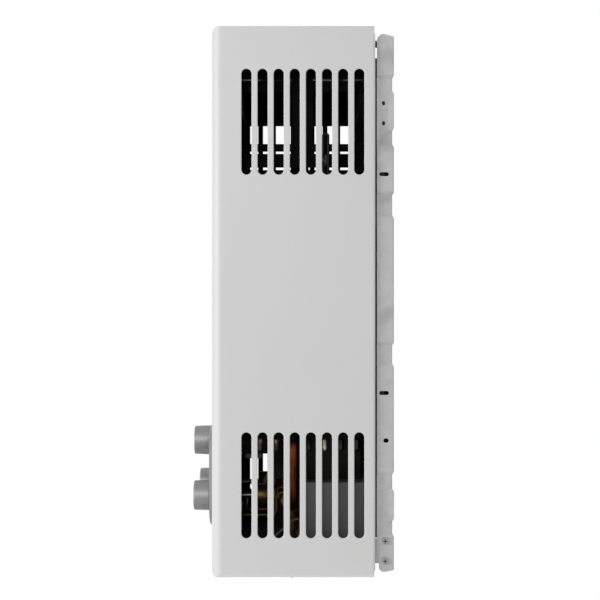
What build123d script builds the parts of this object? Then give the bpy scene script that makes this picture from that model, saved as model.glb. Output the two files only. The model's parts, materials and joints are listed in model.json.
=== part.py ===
from build123d import *
import os

# Wall-hung gas water heater. X runs to the right seen from the front, the wall is the plane Y = 0,
# the heater stands out from it towards -Y, and Z = 0 is half way up the casing.
# A place called "out" is a distance from the wall, so its Y is minus that distance.

# Fits shared by all pieces
overrun = 5  # how far a cut runs past its wall
seat_gap = 0.1  # between fixed pieces that slip together
run_gap = 0.06  # a shaft in its bore, on the radius
air_gap = 0.4  # between a moving piece and its neighbour
pass_gap = 1.5  # a stem through a panel, on the radius

# Casing cover
casing_width = 330
casing_height = 550
casing_depth = 182.5
cover_sheet = 0.8
cover_rear_out = 19
front_edge_radius = 7
side_edge_radius = 10.5
bottom_edge_radius = 4.5
rear_bend_radius = 2.5
return_width = 5
relief_height = 7
relief_depth = 1.1
slot_count = 8
slot_pitch = 16.07
slot_width = 10
slot_length = 105.5
slot_top_margin = 42.5
slot_bottom_margin = 39.5
slot_edge_radius = 0.75
flue_notch_gap = 8
bottom_side_lip = 15
bottom_front_lip = 30

# Back plate
plate_side_inset = 5
plate_sheet = 1
plate_emboss = 1.6
emboss_slope = 3
plate_bend_radius = 1.6
plate_top_margin = 6.8
plate_bottom_margin = 4
flange_out = 17.1
flange_corner = 7
flange_end_slope = 2.8
flange_notch_depth = 2
flange_notch_height = 20.5
raised_band_shares = ((-1.1, -0.844), (-0.629, -0.225), (-0.158, 0.316), (0.389, 0.575), (0.815, 1.1))
pad_shares = ((-0.797, -0.68), (0.622, 0.767))
pad_width = 40
pad_wrap = 6
wall_hole_radius = 4
wall_hole_inset_x = 45
wall_hole_inset_z = 25
flange_hole_length = 4.4
flange_hole_width = 3
flange_hole_out = 10.4
flange_hole_shares = (0.724, 0.651)
flange_slot_length = 9.6
flange_slot_width = 4
flange_slot_out = 10
flange_slot_shares = (0.465, -0.331)
short_slot_length = 5.4
short_slot_width = 4.4
short_slot_out = 8
short_slot_share = -0.504
tab_box_gap = 3.6
tab_width = 34
tab_height = 26
tab_reach = 45

# Bottom plate, brackets and screws
bottom_sheet = 1
bottom_inset = 9
bottom_rear_out = 20
bottom_front_gap = 10.5
bracket_sheet = 1.2
bracket_rear_out = 4
bracket_reach = 25
bracket_foot = 11
bracket_lift = 11.7
bracket_leg_setback = 2
screw_radius = 1.9
screw_hole_gap = 0.15
screw_length = 7
screw_head_radius = 3.6
screw_head_height = 2.2
screw_cross_length = 4.4
screw_cross_width = 1
screw_cross_depth = 1
flange_screw_out = 9
flange_screw_rise = 16
flange_screw_spacing = 20
tab_screw_out = 32
bottom_screw_x = 100

# Control bezel, knobs and stems
bezel_width = 160
bezel_height = 108
bezel_thickness = 7.5
bezel_corner_radius = 28
bezel_edge_radius = 3.5
bezel_rise = 88
bezel_opening_inset = 12
knob_spread = 52.5
lower_knob_rise = 66.1
upper_knob_rise = 120.3
knob_radius = 16.3
knob_taper = 2
knob_gap = 0.8
lower_knob_length = 16.6
upper_knob_length = 19.4
knob_edge_radius = 1.5
knob_cap = 3
pointer_length = 12
pointer_width = 2
pointer_depth = 0.8
stem_radius = 3
stem_seat = 18
season_seat = 10
stem_stop_gap = 1

# Display and sight glass
display_width = 50
display_height = 24
display_rise = 68
lens_margin = 3
lens_thickness = 2
display_module_margin = 8
display_module_depth = 12
sight_radius = 11
sight_glass_radius = 14
sight_glass_thickness = 2
sight_ring_radius = 18
sight_ring_thickness = 3.5
sight_rise = 19

# Flue collar and draught hood
flue_radius = 55
flue_sheet = 0.8
flue_rise = 21
flue_flange = 9
hood_drop = 20
hood_height = 40
hood_sheet = 0.8
hood_depth = 134
hood_bead_rise = 12
hood_bead_radius = 1.2
bracket_post_width = 22
hood_bracket_inset = 2.5
hood_bracket_sheet = 1
hood_bracket_height = 36.5
hood_post_overlap = 18
louvre_low_rise = 9.4
louvre_low_height = 3
louvre_high_rise = 26.4
louvre_high_height = 2.3
louvre_end = 6
draught_gap = 90

# Heat exchanger
chamber_side_room = 51
chamber_depth = 114
chamber_sheet = 0.8
shell_flange_x = 20
shell_flange_y = 10
shell_flange_sheet = 1.2
fin_count = 30
fin_sheet = 0.6
fin_height = 58
fin_drop = 3
fin_end_room = 6
tube_drop = 32
tube_passes = 5
tube_edge = 9
tube_stub = 3
pipe_radius = 7
pipe_wall = 1
bend_stub = 6
coil_gap = 2
coil_riser_gap = 9
coil_rise = 34
coil_pitch = 34
coil_rise_shares = (0, 0.1, 0.4, 0.55, 0.85, 1, 1.3, 1.45, 1.75, 1.9)
coil_bend = 13
elbow_bend = 12
coil_joint_rise = 17
pipe_bend = 18
nut_radius = 12
nut_length = 12
support_x = 85
support_width = 24
support_sheet = 2
support_foot = 9
upper_support_drop = 60
thermostat_radius = 5.5
thermostat_height = 9
thermostat_flange_radius = 6.8
thermostat_flange_sheet = 1.2
thermostat_offset = 20.5
thermostat_pin_radius = 1.2
thermostat_pin_length = 6
thermostat_pin_spacing = 7

# Burner
burner_side_lap = 3
burner_sheet = 1.2
burner_height = 56
burner_lip = 8
bar_count = 12
bar_width = 13
bar_head_height = 20
bar_sheet = 0.8
bar_web_width = 2.4
bar_throat_radius = 6
bar_top_gap = 6
port_count = 16
port_length = 8
port_width = 1.6
port_depth = 2
frame_port_count = 4
frame_port_length = 26
frame_port_width = 9
rib_band_height = 22
skirt_box_gap = 0.5
skirt_front_gap = 24
rib_count = 7
rib_pitch = 16.8
rib_rear_shift = 6.5
rib_radius = 3
rib_length = 14
rib_drop = 5.5
manifold_offset = 50
manifold_depth = 18
manifold_height = 14
manifold_edge_radius = 2
nozzle_radius = 3.8
nozzle_hex_height = 4
nozzle_tip_radius = 2
nozzle_height = 9
nozzle_gap = 4
nozzle_jet_radius = 0.6
season_valve_radius = 14
season_valve_length = 16
electrode_side_room = 64
electrode_spacing = 20
electrode_plate_margin = 14
electrode_plate_sheet = 1.5
electrode_plate_height = 20
electrode_rise = 10
electrode_radius = 4
electrode_back = 18
electrode_front = 9
electrode_wire_radius = 1
electrode_wire_length = 22

# Gas valve
gas_block_width = 48
gas_block_depth = 48
gas_block_height = 44
gas_block_radius = 4
stem_boss_radius = 12
stem_boss_length = 14
gas_riser_radius = 8
gas_riser_bend = 13
gas_top_boss_radius = 12
gas_top_boss_height = 8
gas_bottom_boss_radius = 14
gas_bottom_boss_height = 9
rod_boss_radius = 10
rod_boss_length = 6
solenoid_boss_length = 5
solenoid_radius = 14
solenoid_length = 36
solenoid_cap_radius = 15
solenoid_cap_length = 3
plunger_radius = 4
plunger_length = 30
plunger_travel = 3
plunger_inset = 6

# Water valve and its diaphragm
water_body_radius = 18
water_body_height = 54
water_outlet_radius = 11
water_outlet_length = 10
housing_radius = 33
housing_half = 12
housing_cavity_radius = 24
housing_cavity_depth = 6
housing_neck_radius = 13
housing_neck_length = 10
diaphragm_thickness = 2
cover_half = 10
cover_cavity_depth = 7
cover_neck_radius = 9
cover_neck_length = 6
diaphragm_screw_circle = 28.5
diaphragm_screw_count = 6
rod_radius = 2.5
rod_plate_radius = 18
rod_plate_thickness = 2.2
rod_travel = 3
rod_depth = 18
rod_collar_radius = 5.5
rod_collar_length = 2
rod_cone_length = 5.5
rod_cone_end_radius = 3.2
rod_cone_gap = 0.5
spring_wire_radius = 0.4
spring_radius = 4.2
spring_turns = 4
switch_length = 20
switch_depth = 6.4
switch_height = 10
switch_rise = 13
switch_arm_sheet = 2
lever_sheet = 0.8
lever_width = 4
follower_back = 2.5
lever_drop = 2
lever_pin_radius = 0.8
drain_boss_radius = 5.8
drain_boss_height = 9
drain_stem_radius = 3
drain_stem_length = 7
drain_body_radius = 5
drain_knob_radius = 9
drain_knob_length = 12
drain_knob_drop = 2
drain_hole_gap = 1.5
drain_grip_count = 12
drain_grip_radius = 1.2

# Pipe fittings
thread_radius = 10.4775
thread_hole_gap = 0.3
thread_drop = 17
thread_chamfer = 1.2
thread_relief = 1
nipple_bore_radius = 7
nipple_collar_radius = 15
nipple_collar_height = 8
nipple_neck_radius = 9.5
hot_neck_height = 14
strainer_radius = 6.8
strainer_length = 14
strainer_wall = 0.6
strainer_slot_width = 1.2
strainer_slot_count = 8

# Battery box and electrics
box_side_gap = 25.4
box_rear_out = 20.5
box_wall = 1.8
box_height = 90
cell_radius = 17.1
cell_length = 61.5
cell_gap = 0.6
cell_cap_radius = 4.8
cell_cap_height = 1.5
cell_lift = 2.2
contact_sheet = 0.5
contact_width = 12
ceiling_thickness = 2
box_pipe_gap = 0.7
door_gap = 0.4
door_thickness = 2.4
door_margin = 1
door_pad_gap = 0.8
hinge_drop = 3
hinge_front_gap = 7.5
hinge_radius = 2.6
hinge_pin_radius = 1.4
hinge_barrel_length = 24
hinge_ear_sheet = 2
hinge_ear_margin = 0.9
door_grip_length = 20
door_grip_width = 4
door_grip_depth = 1
igniter_width = 88
igniter_height = 70
igniter_depth = 30
igniter_corner_radius = 3
igniter_x = -68
igniter_rise = 74
igniter_rib_count = 5
igniter_rib_pitch = 12
igniter_rib_width = 3
igniter_rib_depth = 1
igniter_plug_width = 20
igniter_plug_depth = 10
igniter_plug_height = 8
lead_radius = 1.3
lead_bend = 6
lead_wall_gap = 10.5
lead_step = 5
lead_rise = 12
plug_spread = 8
loop_height = 21
loop_bend = 2.4
loop_drop = 26
loop_rear_out = 18
thermostat_lead_rise = 99
battery_lead_inset = 7.5
battery_lead_rise = 47.2
battery_lead_reach = 30
battery_lead_low = 25.7
igniter_entry_inset = 17
switch_lead_x = 10
display_lead_x = 10
display_lead_drop = 15
display_feed_inset = 3.5
display_feed_rise = 80
display_feed_reach = 24
display_feed_drop = 23
display_feed_back = 20
display_feed_x = 25

# Places worked out from the sizes above
half_width = casing_width / 2
half_height = casing_height / 2
cover_depth = casing_depth - cover_rear_out
works_out = casing_depth / 2
floor_z = -half_height + cover_sheet + bottom_sheet
lower_knob_z = -half_height + lower_knob_rise
upper_knob_z = -half_height + upper_knob_rise
knob_base_out = casing_depth + bezel_thickness + knob_gap
gas_x = -knob_spread
water_x = knob_spread

box_width = 2 * (cell_radius + cell_gap + box_wall)
box_length = 4 * cell_radius + 3 * cell_gap + 2 * box_wall
box_right = half_width - box_side_gap
box_left = box_right - box_width
box_x = (box_left + box_right) / 2
box_front_out = box_rear_out + box_length
box_out = (box_rear_out + box_front_out) / 2
valve_out = box_front_out + box_pipe_gap + pipe_radius

chamber_half_x = half_width - chamber_side_room
chamber_half_y = chamber_depth / 2
electrode_x = chamber_half_x - electrode_side_room
sensor_x = electrode_x + electrode_spacing
notch_radius = flue_radius + flue_notch_gap
top_tab_x = notch_radius + tab_width / 2
bottom_tab_x = box_left - tab_box_gap - tab_width / 2
hood_top_z = half_height - hood_drop
hood_bottom_z = hood_top_z - hood_height
shell_top_z = hood_bottom_z - draught_gap
manifold_top_z = upper_knob_z + manifold_height / 2
burner_bottom_z = manifold_top_z + nozzle_height + nozzle_gap
burner_top_z = burner_bottom_z + burner_height
shell_bottom_z = burner_top_z
sight_z = shell_bottom_z + sight_rise
tube_z = shell_top_z - tube_drop
tube_pitch = (chamber_depth - 2 * tube_edge) / (tube_passes - 1)
first_pass_out = works_out + chamber_half_y - tube_edge
last_pass_out = works_out - chamber_half_y + tube_edge
coil_right_x = chamber_half_x + coil_riser_gap + pipe_radius
coil_left_x = -(chamber_half_x + coil_gap + pipe_radius)
coil_front_out = works_out + chamber_half_y + coil_gap + pipe_radius
coil_back_out = works_out - chamber_half_y - coil_gap - pipe_radius
coil_start_z = shell_bottom_z + coil_joint_rise
coil_first_z = shell_bottom_z + coil_rise
hot_x = coil_left_x - 2 * pipe_radius - coil_gap
hot_top_z = floor_z + nipple_collar_height + hot_neck_height

os.makedirs("parts", exist_ok=True)


def save(builder, node):
    builder.part.label = node
    export_step(builder.part, f"parts/{node}.step")


def block(xs, outs, zs, mode=Mode.ADD):
    # Box between two places along X, two distances from the wall and two heights
    middle = ((xs[0] + xs[1]) / 2, -(outs[0] + outs[1]) / 2, (zs[0] + zs[1]) / 2)
    with Locations(middle):
        Box(abs(xs[1] - xs[0]), abs(outs[1] - outs[0]), abs(zs[1] - zs[0]), mode=mode)


def rod(plane, spot, radius, length, mode=Mode.ADD):
    with BuildSketch(plane) as section:
        with Locations(spot):
            Circle(radius)
    extrude(section.sketch, amount=length, mode=mode)


def hexagon(plane, spot, radius, length):
    with BuildSketch(plane) as section:
        with Locations(spot):
            RegularPolygon(radius, 6)
    extrude(section.sketch, amount=length)


def tube(points, bend, radius, wall):
    # Round pipe, or a solid lead where the wall is the radius, along straight runs and tangent arcs
    with BuildLine() as route:
        FilletPolyline(*points, radius=bend)
    with BuildSketch(Plane(origin=route.line @ 0, z_dir=route.line % 0)) as section:
        Circle(radius)
        if wall < radius:
            Circle(radius - wall, mode=Mode.SUBTRACT)
    sweep(section.sketch, path=route.line)


def facing(out):
    # Plane parallel to the wall, at a distance from it, looking into the room
    return Plane.XZ.offset(out)


def pan_screw(plane, spot):
    # Pan-head screw whose head stands on the plane and whose shank runs back from it
    rod(plane, spot, screw_head_radius, screw_head_height)
    rod(plane, spot, screw_radius, -screw_length)
    with BuildSketch(plane.offset(screw_head_height)) as cross:
        with Locations(spot):
            Rectangle(screw_cross_length, screw_cross_width)
            Rectangle(screw_cross_width, screw_cross_length)
    extrude(cross.sketch, amount=-screw_cross_depth, mode=Mode.SUBTRACT)


# Front cover: one pressed and folded box, open at the back
def cover_block(inset):
    middle_y = -(casing_depth + cover_rear_out) / 2
    with BuildSketch(Plane.XY.offset(-half_height + inset)) as plan:
        with Locations((0, middle_y)):
            Rectangle(casing_width - 2 * inset, cover_depth - 2 * inset)
        fillet(plan.vertices().group_by(Axis.Y)[0], side_edge_radius - inset)
        fillet(plan.vertices().group_by(Axis.Y)[-1], rear_bend_radius - inset)
    extrude(plan.sketch, amount=casing_height - 2 * inset)
    with BuildSketch(Plane.YZ) as profile:
        with Locations((middle_y, 0)):
            Rectangle(cover_depth - 2 * inset, casing_height - 2 * inset)
        fillet(profile.vertices().group_by(Axis.X)[0], front_edge_radius - inset)
    extrude(profile.sketch, amount=half_width, both=True, mode=Mode.INTERSECT)
    with BuildSketch(Plane.XZ) as front_view:
        Rectangle(casing_width - 2 * inset, casing_height - 2 * inset)
        fillet(front_view.vertices().group_by(Axis.Y)[0], bottom_edge_radius - inset)
    extrude(front_view.sketch, amount=casing_depth, both=True, mode=Mode.INTERSECT)


bottom_front_out = casing_depth - bottom_front_gap
bottom_lip_out = casing_depth - bottom_front_lip
bottom_screw_out = (bottom_front_out + bottom_lip_out) / 2
screw_hole_radius = screw_radius + screw_hole_gap
bezel_z = -half_height + bezel_rise

with BuildPart() as cover_cavity:
    cover_block(cover_sheet)

with BuildPart() as front_cover:
    cover_block(0)
    add(cover_cavity.part, mode=Mode.SUBTRACT)
    with Locations((0, -cover_rear_out, 0)):
        Box(
            casing_width - 2 * return_width,
            2 * overrun,
            casing_height - 2 * cover_sheet,
            mode=Mode.SUBTRACT,
        )
    with Locations((0, -cover_rear_out, half_height), (0, -cover_rear_out, -half_height)):
        Box(casing_width + overrun, 2 * relief_depth, 2 * relief_height, mode=Mode.SUBTRACT)
    # Vent slots through both sides
    upper_slot_z = half_height - slot_top_margin - slot_length / 2
    lower_slot_z = -half_height + slot_bottom_margin + slot_length / 2
    with BuildSketch(Plane.YZ):
        with Locations((-works_out, upper_slot_z), (-works_out, lower_slot_z)):
            with GridLocations(slot_pitch, slot_pitch, slot_count, 1):
                SlotOverall(slot_length, slot_width, rotation=90)
    extrude(amount=casing_width, both=True, mode=Mode.SUBTRACT)
    for side in (front_cover.faces().sort_by(Axis.X)[0], front_cover.faces().sort_by(Axis.X)[-1]):
        fillet(side.inner_wires().edges(), slot_edge_radius)
    # Notch in the top that lets the cover come off forwards past the flue collar
    with BuildSketch(Plane.XY.offset(half_height - overrun)):
        with Locations((0, -works_out)):
            Circle(notch_radius)
            Rectangle(2 * notch_radius, works_out, align=(Align.CENTER, Align.MIN))
    extrude(amount=2 * overrun, mode=Mode.SUBTRACT)
    # Opening in the bottom, closed by the bottom plate
    block(
        (-half_width + bottom_side_lip, half_width - bottom_side_lip),
        (0, bottom_lip_out),
        (-half_height - overrun, -half_height + overrun),
        Mode.SUBTRACT,
    )
    # Opening behind the bezel, sight hole and screw holes
    with BuildSketch(facing(casing_depth - overrun)):
        with Locations((0, bezel_z)):
            RectangleRounded(
                bezel_width - 2 * bezel_opening_inset,
                bezel_height - 2 * bezel_opening_inset,
                bezel_corner_radius - bezel_opening_inset,
            )
        with Locations((0, sight_z)):
            Circle(sight_radius)
    extrude(amount=2 * overrun, mode=Mode.SUBTRACT)
    for side_x in (-top_tab_x, top_tab_x):
        rod(
            Plane.XY.offset(half_height - overrun),
            (side_x, -tab_screw_out),
            screw_hole_radius,
            2 * overrun,
            Mode.SUBTRACT,
        )
    for side_x in (-bottom_screw_x, bottom_screw_x):
        rod(
            Plane.XY.offset(-half_height - overrun),
            (side_x, -bottom_screw_out),
            screw_hole_radius,
            2 * overrun,
            Mode.SUBTRACT,
        )
save(front_cover, "front_cover")


# Back plate: a shallow stamped tray, open at its ends, with raised bands across it
plate_half = half_width - plate_side_inset
plate_low_z = -half_height + plate_bottom_margin
plate_high_z = half_height - plate_top_margin


def plate_outline(z, inset, level, front_out):
    rear_out = level + inset
    with BuildSketch(Plane.XY.offset(z)) as outline:
        with Locations((0, -(front_out + rear_out) / 2)):
            Rectangle(2 * (plate_half - rear_out), front_out - rear_out)
        fillet(outline.vertices().group_by(Axis.Y)[-1], plate_bend_radius - inset)
    return outline.sketch


def tray(inset, front_out):
    extrude(plate_outline(-half_height, inset, plate_emboss, front_out), amount=casing_height)
    for low_share, high_share in raised_band_shares:
        low_z = low_share * half_height
        high_z = high_share * half_height
        levels = (
            (low_z, plate_emboss),
            (low_z + emboss_slope, 0),
            (high_z - emboss_slope, 0),
            (high_z, plate_emboss),
        )
        loft([plate_outline(z, inset, level, front_out) for z, level in levels], ruled=True)


with BuildPart() as plate_core:
    tray(plate_sheet, flange_out + overrun)

with BuildPart() as back_plate:
    tray(0, flange_out)
    # Raised pads that wrap round the plate's edges, with sloping ends
    for low_share, high_share in pad_shares:
        pad_low_z = low_share * half_height
        pad_high_z = high_share * half_height
        for pad_x in (-plate_half, plate_half - pad_width):
            with BuildSketch(Plane.YZ.offset(pad_x)) as pad:
                with BuildLine():
                    Polyline(
                        (0, pad_low_z + emboss_slope),
                        (-plate_emboss, pad_low_z),
                        (-pad_wrap, pad_low_z),
                        (-pad_wrap, pad_high_z),
                        (-plate_emboss, pad_high_z),
                        (0, pad_high_z - emboss_slope),
                        close=True,
                    )
                make_face()
            extrude(pad.sketch, amount=pad_width)
    add(plate_core.part, mode=Mode.SUBTRACT)
    # Ends of the plate, with a rounded corner at the top of each flange and a step above the lower one
    with BuildSketch(Plane.YZ) as plate_ends:
        with BuildLine():
            Polyline(
                (-flange_out + flange_notch_depth, plate_low_z),
                (0, plate_low_z + flange_end_slope),
                (0, plate_high_z - flange_end_slope),
                (-flange_out + flange_corner, plate_high_z),
                (-flange_out, plate_high_z),
                (-flange_out, plate_low_z + flange_notch_height),
                (-flange_out + flange_notch_depth, plate_low_z + flange_notch_height),
                close=True,
            )
        make_face()
        top_corner = plate_ends.vertices().group_by(Axis.X)[0].sort_by(Axis.Y)[-1]
        fillet(top_corner, flange_corner - seat_gap)
        fillet(plate_ends.vertices().sort_by(Axis.Y)[0], flange_corner - flange_notch_depth)
    extrude(amount=half_width, both=True, mode=Mode.INTERSECT)
    # Tabs that carry the cover's top and the bottom plate
    top_z = half_height - cover_sheet
    for side_x in (-bottom_tab_x, bottom_tab_x):
        tab_span = (side_x - tab_width / 2, side_x + tab_width / 2)
        block(tab_span, (0, plate_sheet), (floor_z, floor_z + tab_height))
        block(tab_span, (0, tab_reach), (floor_z, floor_z + plate_sheet))
    for side_x in (-top_tab_x, top_tab_x):
        tab_span = (side_x - tab_width / 2, side_x + tab_width / 2)
        block(tab_span, (0, plate_sheet), (top_z - tab_height, top_z))
        block(tab_span, (0, tab_reach), (top_z - plate_sheet, top_z))
        rod(
            Plane.XY.offset(top_z + overrun),
            (side_x, -tab_screw_out),
            screw_hole_radius,
            -2 * overrun,
            Mode.SUBTRACT,
        )
    wall_hole_x = half_width - wall_hole_inset_x
    wall_hole_z = half_height - wall_hole_inset_z
    with BuildSketch(facing(-overrun)):
        with GridLocations(2 * wall_hole_x, 2 * wall_hole_z, 2, 2):
            Circle(wall_hole_radius)
    extrude(amount=2 * overrun, mode=Mode.SUBTRACT)
    # Holes and slots through both flanges
    with BuildSketch(Plane.YZ):
        for share in flange_hole_shares:
            with Locations((-flange_hole_out, share * half_height)):
                SlotOverall(flange_hole_length, flange_hole_width, rotation=90)
        for share in flange_slot_shares:
            with Locations((-flange_slot_out, share * half_height)):
                SlotOverall(flange_slot_length, flange_slot_width)
        with Locations((-short_slot_out, short_slot_share * half_height)):
            SlotOverall(short_slot_length, short_slot_width)
        for step in range(2):
            screw_z = -half_height + flange_screw_rise + step * flange_screw_spacing
            with Locations((-flange_screw_out, screw_z)):
                Circle(screw_hole_radius)
    extrude(amount=half_width, both=True, mode=Mode.SUBTRACT)
save(back_plate, "back_plate")

# Stepped brackets inside the lower ends of the flanges, standing on the bottom plate
bracket_face = plate_half - plate_sheet
bracket_top_z = raised_band_shares[0][1] * half_height - emboss_slope - plate_emboss
bracket_low_z = floor_z + bracket_lift
bracket_leg_out = cover_rear_out + bracket_leg_setback
with BuildPart() as flange_brackets:
    for side in (-1, 1):
        bracket_outs = (bracket_rear_out, bracket_rear_out + bracket_reach)
        wall_span = (side * (bracket_face - bracket_sheet), side * bracket_face)
        step_span = (side * (bracket_face - bracket_foot), side * bracket_face)
        leg_span = (step_span[0], step_span[0] + side * bracket_sheet)
        block(wall_span, bracket_outs, (bracket_low_z, bracket_top_z))
        block(step_span, bracket_outs, (bracket_low_z, bracket_low_z + bracket_sheet))
        block(leg_span, (bracket_leg_out, bracket_outs[1]), (floor_z, bracket_low_z))
    with BuildSketch(Plane.YZ):
        for step in range(2):
            screw_z = -half_height + flange_screw_rise + step * flange_screw_spacing
            with Locations((-flange_screw_out, screw_z)):
                Circle(screw_hole_radius)
    extrude(amount=half_width, both=True, mode=Mode.SUBTRACT)
save(flange_brackets, "flange_brackets")

with BuildPart() as flange_screws:
    for step in range(2):
        screw_spot = (-half_height + flange_screw_rise + step * flange_screw_spacing, -flange_screw_out)
        # Local X of these two planes is the height, local Y the distance from the wall
        right_plane = Plane(origin=(plate_half, 0, 0), x_dir=(0, 0, 1), z_dir=(1, 0, 0))
        left_plane = Plane(origin=(-plate_half, 0, 0), x_dir=(0, 0, 1), z_dir=(-1, 0, 0))
        pan_screw(right_plane, (screw_spot[0], -screw_spot[1]))
        pan_screw(left_plane, screw_spot)
save(flange_screws, "flange_screws")

with BuildPart() as cover_screws:
    for side_x in (-top_tab_x, top_tab_x):
        pan_screw(Plane.XY.offset(half_height), (side_x, -tab_screw_out))
    under_plane = Plane(origin=(0, 0, -half_height), x_dir=(1, 0, 0), z_dir=(0, 0, -1))
    for side_x in (-bottom_screw_x, bottom_screw_x):
        pan_screw(under_plane, (side_x, bottom_screw_out))
save(cover_screws, "cover_screws")

# Bottom plate, which holds the pipe fittings and the battery box
hinge_out = box_front_out + hinge_front_gap
hinge_z = -half_height + cover_sheet - door_gap - hinge_drop
ear_height = hinge_radius + hinge_ear_margin
bottom_low_z = -half_height + cover_sheet
with BuildPart() as bottom_plate:
    block(
        (-half_width + bottom_inset, half_width - bottom_inset),
        (bottom_rear_out, bottom_front_out),
        (bottom_low_z, floor_z),
    )
    # Ears under the plate for the battery door's hinge
    for side in (-1, 1):
        ear_in = box_x + side * (hinge_barrel_length / 2 + air_gap)
        ear_span = (ear_in, ear_in + side * hinge_ear_sheet)
        block(ear_span, (hinge_out - ear_height, hinge_out + ear_height), (hinge_z, bottom_low_z))
        rod(Plane.YZ.offset(ear_in), (-hinge_out, hinge_z), ear_height, side * hinge_ear_sheet)
    rod(
        Plane.YZ.offset(box_left),
        (-hinge_out, hinge_z),
        hinge_pin_radius + run_gap,
        box_width,
        Mode.SUBTRACT,
    )
    with BuildSketch(Plane.XY.offset(bottom_low_z - overrun)):
        for spot in ((gas_x, -valve_out), (water_x, -valve_out), (hot_x, -last_pass_out)):
            with Locations(spot):
                Circle(thread_radius + thread_hole_gap)
        with Locations((box_x, -box_out)):
            Rectangle(box_width - 2 * box_wall, box_length - 2 * box_wall)
    extrude(amount=2 * overrun, mode=Mode.SUBTRACT)
    for side_x in (-bottom_screw_x, bottom_screw_x):
        rod(
            Plane.XY.offset(bottom_low_z - overrun),
            (side_x, -bottom_screw_out),
            screw_hole_radius,
            2 * overrun,
            Mode.SUBTRACT,
        )
    drain_x = water_x - water_body_radius - housing_neck_length - housing_half / 2
    rod(
        Plane.XY.offset(bottom_low_z - overrun),
        (drain_x, -valve_out),
        drain_body_radius + drain_hole_gap,
        2 * overrun,
        Mode.SUBTRACT,
    )
save(bottom_plate, "bottom_plate")

# Control bezel with its display window
display_z = -half_height + display_rise
knob_spots = ((gas_x, lower_knob_z), (water_x, lower_knob_z), (0, upper_knob_z))
with BuildPart() as control_bezel:
    with BuildSketch(facing(casing_depth)):
        with Locations((0, bezel_z)):
            RectangleRounded(bezel_width, bezel_height, bezel_corner_radius)
    extrude(amount=bezel_thickness)
    fillet(control_bezel.faces().sort_by(Axis.Y)[0].edges(), bezel_edge_radius)
    with BuildSketch(facing(casing_depth)):
        for spot in knob_spots:
            with Locations(spot):
                Circle(stem_radius + pass_gap)
        with Locations((0, display_z)):
            Rectangle(display_width, display_height)
    extrude(amount=bezel_thickness, mode=Mode.SUBTRACT)
    lens_seat_out = casing_depth + bezel_thickness - lens_thickness
    with BuildSketch(facing(lens_seat_out)):
        with Locations((0, display_z)):
            Rectangle(display_width + 2 * lens_margin, display_height + 2 * lens_margin)
    extrude(amount=bezel_thickness, mode=Mode.SUBTRACT)
save(control_bezel, "control_bezel")

with BuildPart() as display_window:
    with BuildSketch(facing(lens_seat_out)):
        with Locations((0, display_z)):
            Rectangle(
                display_width + 2 * (lens_margin - seat_gap),
                display_height + 2 * (lens_margin - seat_gap),
            )
    extrude(amount=lens_thickness)
save(display_window, "display_window")

with BuildPart() as display_module:
    with BuildSketch(facing(casing_depth - display_module_depth)):
        with Locations((0, display_z)):
            Rectangle(
                display_width + 2 * display_module_margin,
                display_height + 2 * display_module_margin,
            )
    extrude(amount=display_module_depth)
    with BuildSketch(facing(casing_depth)):
        with Locations((0, display_z)):
            Rectangle(display_width - 2 * seat_gap, display_height - 2 * seat_gap)
    extrude(amount=bezel_thickness - lens_thickness - seat_gap)
save(display_module, "display_module")

# Sight glass over the burner
with BuildPart() as sight_ring:
    rod(facing(casing_depth), (0, sight_z), sight_ring_radius, sight_ring_thickness)
    fillet(sight_ring.faces().sort_by(Axis.Y)[0].edges(), sight_ring_thickness / 2)
    rod(facing(casing_depth), (0, sight_z), sight_radius, sight_ring_thickness, Mode.SUBTRACT)
    rod(facing(casing_depth), (0, sight_z), sight_glass_radius, sight_glass_thickness, Mode.SUBTRACT)
save(sight_ring, "sight_ring")

with BuildPart() as sight_glass:
    rod(facing(casing_depth), (0, sight_z), sight_glass_radius - seat_gap, sight_glass_thickness - seat_gap)
save(sight_glass, "sight_glass")


# Knobs and the stems they turn
def knob(part, spot, length):
    with BuildSketch(facing(knob_base_out)) as base:
        with Locations(spot):
            Circle(knob_radius)
    extrude(base.sketch, amount=length, taper=knob_taper)
    fillet(part.faces().sort_by(Axis.Y)[0].edges(), knob_edge_radius)
    rod(facing(knob_base_out), spot, stem_radius + seat_gap, length - knob_cap, Mode.SUBTRACT)
    with BuildSketch(facing(knob_base_out + length)) as pointer:
        pointer_rise = knob_radius - pointer_length / 2 - knob_edge_radius - pointer_width
        with Locations((spot[0], spot[1] + pointer_rise)):
            SlotOverall(pointer_length, pointer_width, rotation=90)
    extrude(pointer.sketch, amount=-pointer_depth, mode=Mode.SUBTRACT)


def stem(spot, boss_out, seat, length):
    start_out = boss_out - seat + stem_stop_gap
    end_out = knob_base_out + length - knob_cap - seat_gap
    rod(facing(start_out), spot, stem_radius, end_out - start_out)


gas_boss_out = valve_out + gas_block_depth / 2 + stem_boss_length
season_boss_out = works_out + manifold_offset + manifold_depth / 2 + season_valve_length

with BuildPart() as gas_knob:
    knob(gas_knob, knob_spots[0], lower_knob_length)
save(gas_knob, "gas_knob")

with BuildPart() as gas_stem:
    stem(knob_spots[0], gas_boss_out, stem_seat, lower_knob_length)
save(gas_stem, "gas_stem")

with BuildPart() as water_knob:
    knob(water_knob, knob_spots[1], lower_knob_length)
save(water_knob, "water_knob")

with BuildPart() as water_stem:
    stem(knob_spots[1], gas_boss_out, stem_seat, lower_knob_length)
save(water_stem, "water_stem")

with BuildPart() as season_knob:
    knob(season_knob, knob_spots[2], upper_knob_length)
save(season_knob, "season_knob")

with BuildPart() as season_stem:
    stem(knob_spots[2], season_boss_out, season_seat, upper_knob_length)
save(season_stem, "season_stem")

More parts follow.
